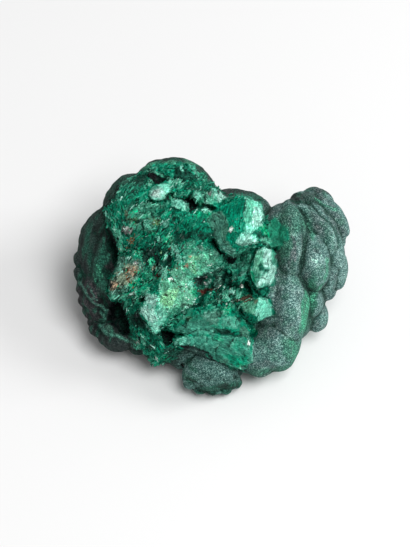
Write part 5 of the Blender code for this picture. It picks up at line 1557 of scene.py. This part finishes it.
boxCorners = np.array(list(itertools.product((-1, 1), repeat=3)), float)
boxFaces = [(0, 1, 3, 2), (4, 6, 7, 5), (0, 4, 5, 1), (2, 3, 7, 6), (0, 2, 6, 4), (1, 5, 7, 3)]


def chooseFaces(look, host, middles, places, first, dice):  # where crystals grow, more often on large faces
    thickness = np.full(len(places), look["everywhere"])
    for place, halfSizes, turn, share in look["spots"]:
        inside = spotShare(places[:, 0], places[:, 1], place, halfSizes, turn, spotEdge["crystals"])
        thickness += inside * (share - thickness)
    high = middles[:, 2] / layout["mm"] > crystalForm["lowest"]
    chance = fetch(host.polygons, "area") * thickness * kept(host, "broken")[first] ** 2 * high
    return dice.choice(len(places), look["count"], replace=False, p=chance / chance.sum())


def crystalCorners(look, middles, outward, turns, dice):
    count = len(middles)
    fibres = np.stack([np.cos(turns), np.sin(turns), np.zeros(count)], axis=1)
    fibres = fibres @ np.array(faceTurn().to_3x3()).T
    fibres = unit(fibres - outward * (fibres * outward).sum(axis=1)[:, None] * crystalForm["pressedFlat"])
    fibres *= np.where(dice.random(count) < 0.5, 1, -1)[:, None]
    stray = unit(dice.normal(size=(count, 3))) * look["stray"]
    long = unit(fibres * look["along"] + outward * look["upright"] + stray)
    wide = unit(np.cross(long, dice.normal(size=(count, 3))))
    half = dice.uniform(*look["sizes"], count) * layout["mm"]
    slim = half * dice.uniform(*look["slimness"], count)
    thin = slim * dice.uniform(*crystalForm["thinness"], count)
    taper = dice.uniform(*crystalForm["taper"], count)
    uneven = crystalForm["unevenness"]
    shape = np.tile(boxCorners, (count, 1, 1)) * (1 + dice.uniform(-uneven, uneven, (count, 8, 3)))
    shape[:, :, 1:] *= np.where(shape[:, :, 0] > 0, taper[:, None], 1)[:, :, None]
    corners = (middles + outward * (half * look["lift"])[:, None])[:, None, :]
    for axis, (direction, size) in enumerate(((long, half), (wide, slim), (np.cross(long, wide), thin))):
        corners = corners + shape[:, :, axis, None] * (direction * size[:, None])[:, None, :]
    return corners.reshape(-1, 3)


def crystalColours(look, colours, places, dice):
    count = len(places)
    # the crystals take the tone under them, painted shade and highlights included
    colours = np.maximum(colours, linear("shade") * crystalForm["darkest"])
    colours = colours * np.exp(dice.normal(0, look["shades"], count))[:, None]
    for tone, place, halfSizes, share in flecks:
        inside = spotShare(places[:, 0], places[:, 1], place, halfSizes, 0)
        colours[dice.random(count) < inside * share] = linear(tone)
    return colours


def growCrystals(name, look, host):
    dice = np.random.default_rng(look["seed"])
    middles = fetch(host.polygons, "center", 3).astype(float)
    outward = fetch(host.polygons, "normal", 3).astype(float)
    first = firstCorners(host)
    places = toFace(middles)
    chosen = chooseFaces(look, host, middles, places, first, dice)
    turns = fibresAt(places[chosen])[3]
    corners = crystalCorners(look, middles[chosen], outward[chosen], turns, dice)
    colours = crystalColours(look, keptColours(host, "tone")[first[chosen]], places[chosen], dice)
    faces = [[corner + 8 * k for corner in side] for k in range(len(chosen)) for side in boxFaces]
    made = meshFrom(name, corners.tolist(), faces)
    editAll(made, bpy.ops.mesh.quads_convert_to_tris, bpy.ops.mesh.normals_make_consistent)
    keep(made.data, "tone", np.repeat(colours, 8, axis=0))
    made.data.materials.append(crystalMaterial)
    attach(made, "root")
    print(name + ":", len(chosen), "crystals,", len(made.data.polygons), "faces")


crystalMaterial = makeCrystalMaterial()
for name, look in crystals.items():
    growCrystals(name, look, brokenFace.data)


studio = {
    "floor": 3,  # metres across
    "floorTone": 0.83,
    "floorRoughness": 0.9,
    "worldLight": 0.34,
    "lights": {  # power, size and place of each soft light
        "overhead": (9.8, 0.6, (0.34, -0.36, 1.02)),
        "key": (3.4, 0.36, (0.75, 0.05, 0.56)),
    },
    "lightsAim": (0, 0, 0.02),
    "lens": 200,
    "sensor": 36,
    "elevation": 55,
    "pictureHeight": 547,
    "pixelsPerMm": 4,
    "middle": (-1.5, 0.625, 0),  # the layout's point in the middle of the picture
}


def aim(item, towards):
    item.rotation_euler = (towards - item.location).to_track_quat("-Z", "Y").to_euler()


def makeStudio():
    bpy.ops.object.select_all(action="DESELECT")
    bpy.ops.mesh.primitive_plane_add(size=studio["floor"], location=(0, 0, 0))
    floor = bpy.context.object
    floor.name = "floor"
    look = {"Base Color": (*[studio["floorTone"]] * 3, 1), "Roughness": studio["floorRoughness"]}
    floor.data.materials.append(newMaterial("paper", look)[0])
    world = bpy.data.worlds.new("studio")
    world.use_nodes = True
    background = world.node_tree.nodes["Background"]
    background.inputs["Color"].default_value = (1, 1, 1, 1)
    background.inputs["Strength"].default_value = studio["worldLight"]
    bpy.context.scene.world = world
    for name, (power, size, place) in studio["lights"].items():
        bpy.ops.object.light_add(type="AREA", location=place)
        light = bpy.context.object
        light.name = name
        light.data.size = size
        light.data.energy = power
        aim(light, Vector(studio["lightsAim"]))


def makeCamera():
    elevation = math.radians(studio["elevation"])
    back = Vector((0, -math.cos(elevation), math.sin(elevation)))
    target = onFace(*studio["middle"])
    halfHeight = studio["pictureHeight"] / studio["pixelsPerMm"] * layout["mm"] / 2
    distance = halfHeight / (studio["sensor"] / 2 / studio["lens"])
    bpy.ops.object.camera_add(location=target + back * distance)
    camera = bpy.context.object
    camera.data.lens = studio["lens"]
    camera.data.sensor_width = studio["sensor"]
    aim(camera, target)
    bpy.context.scene.camera = camera
    bpy.context.scene.view_settings.view_transform = "Standard"


makeStudio()
makeCamera()
print("studio: done")
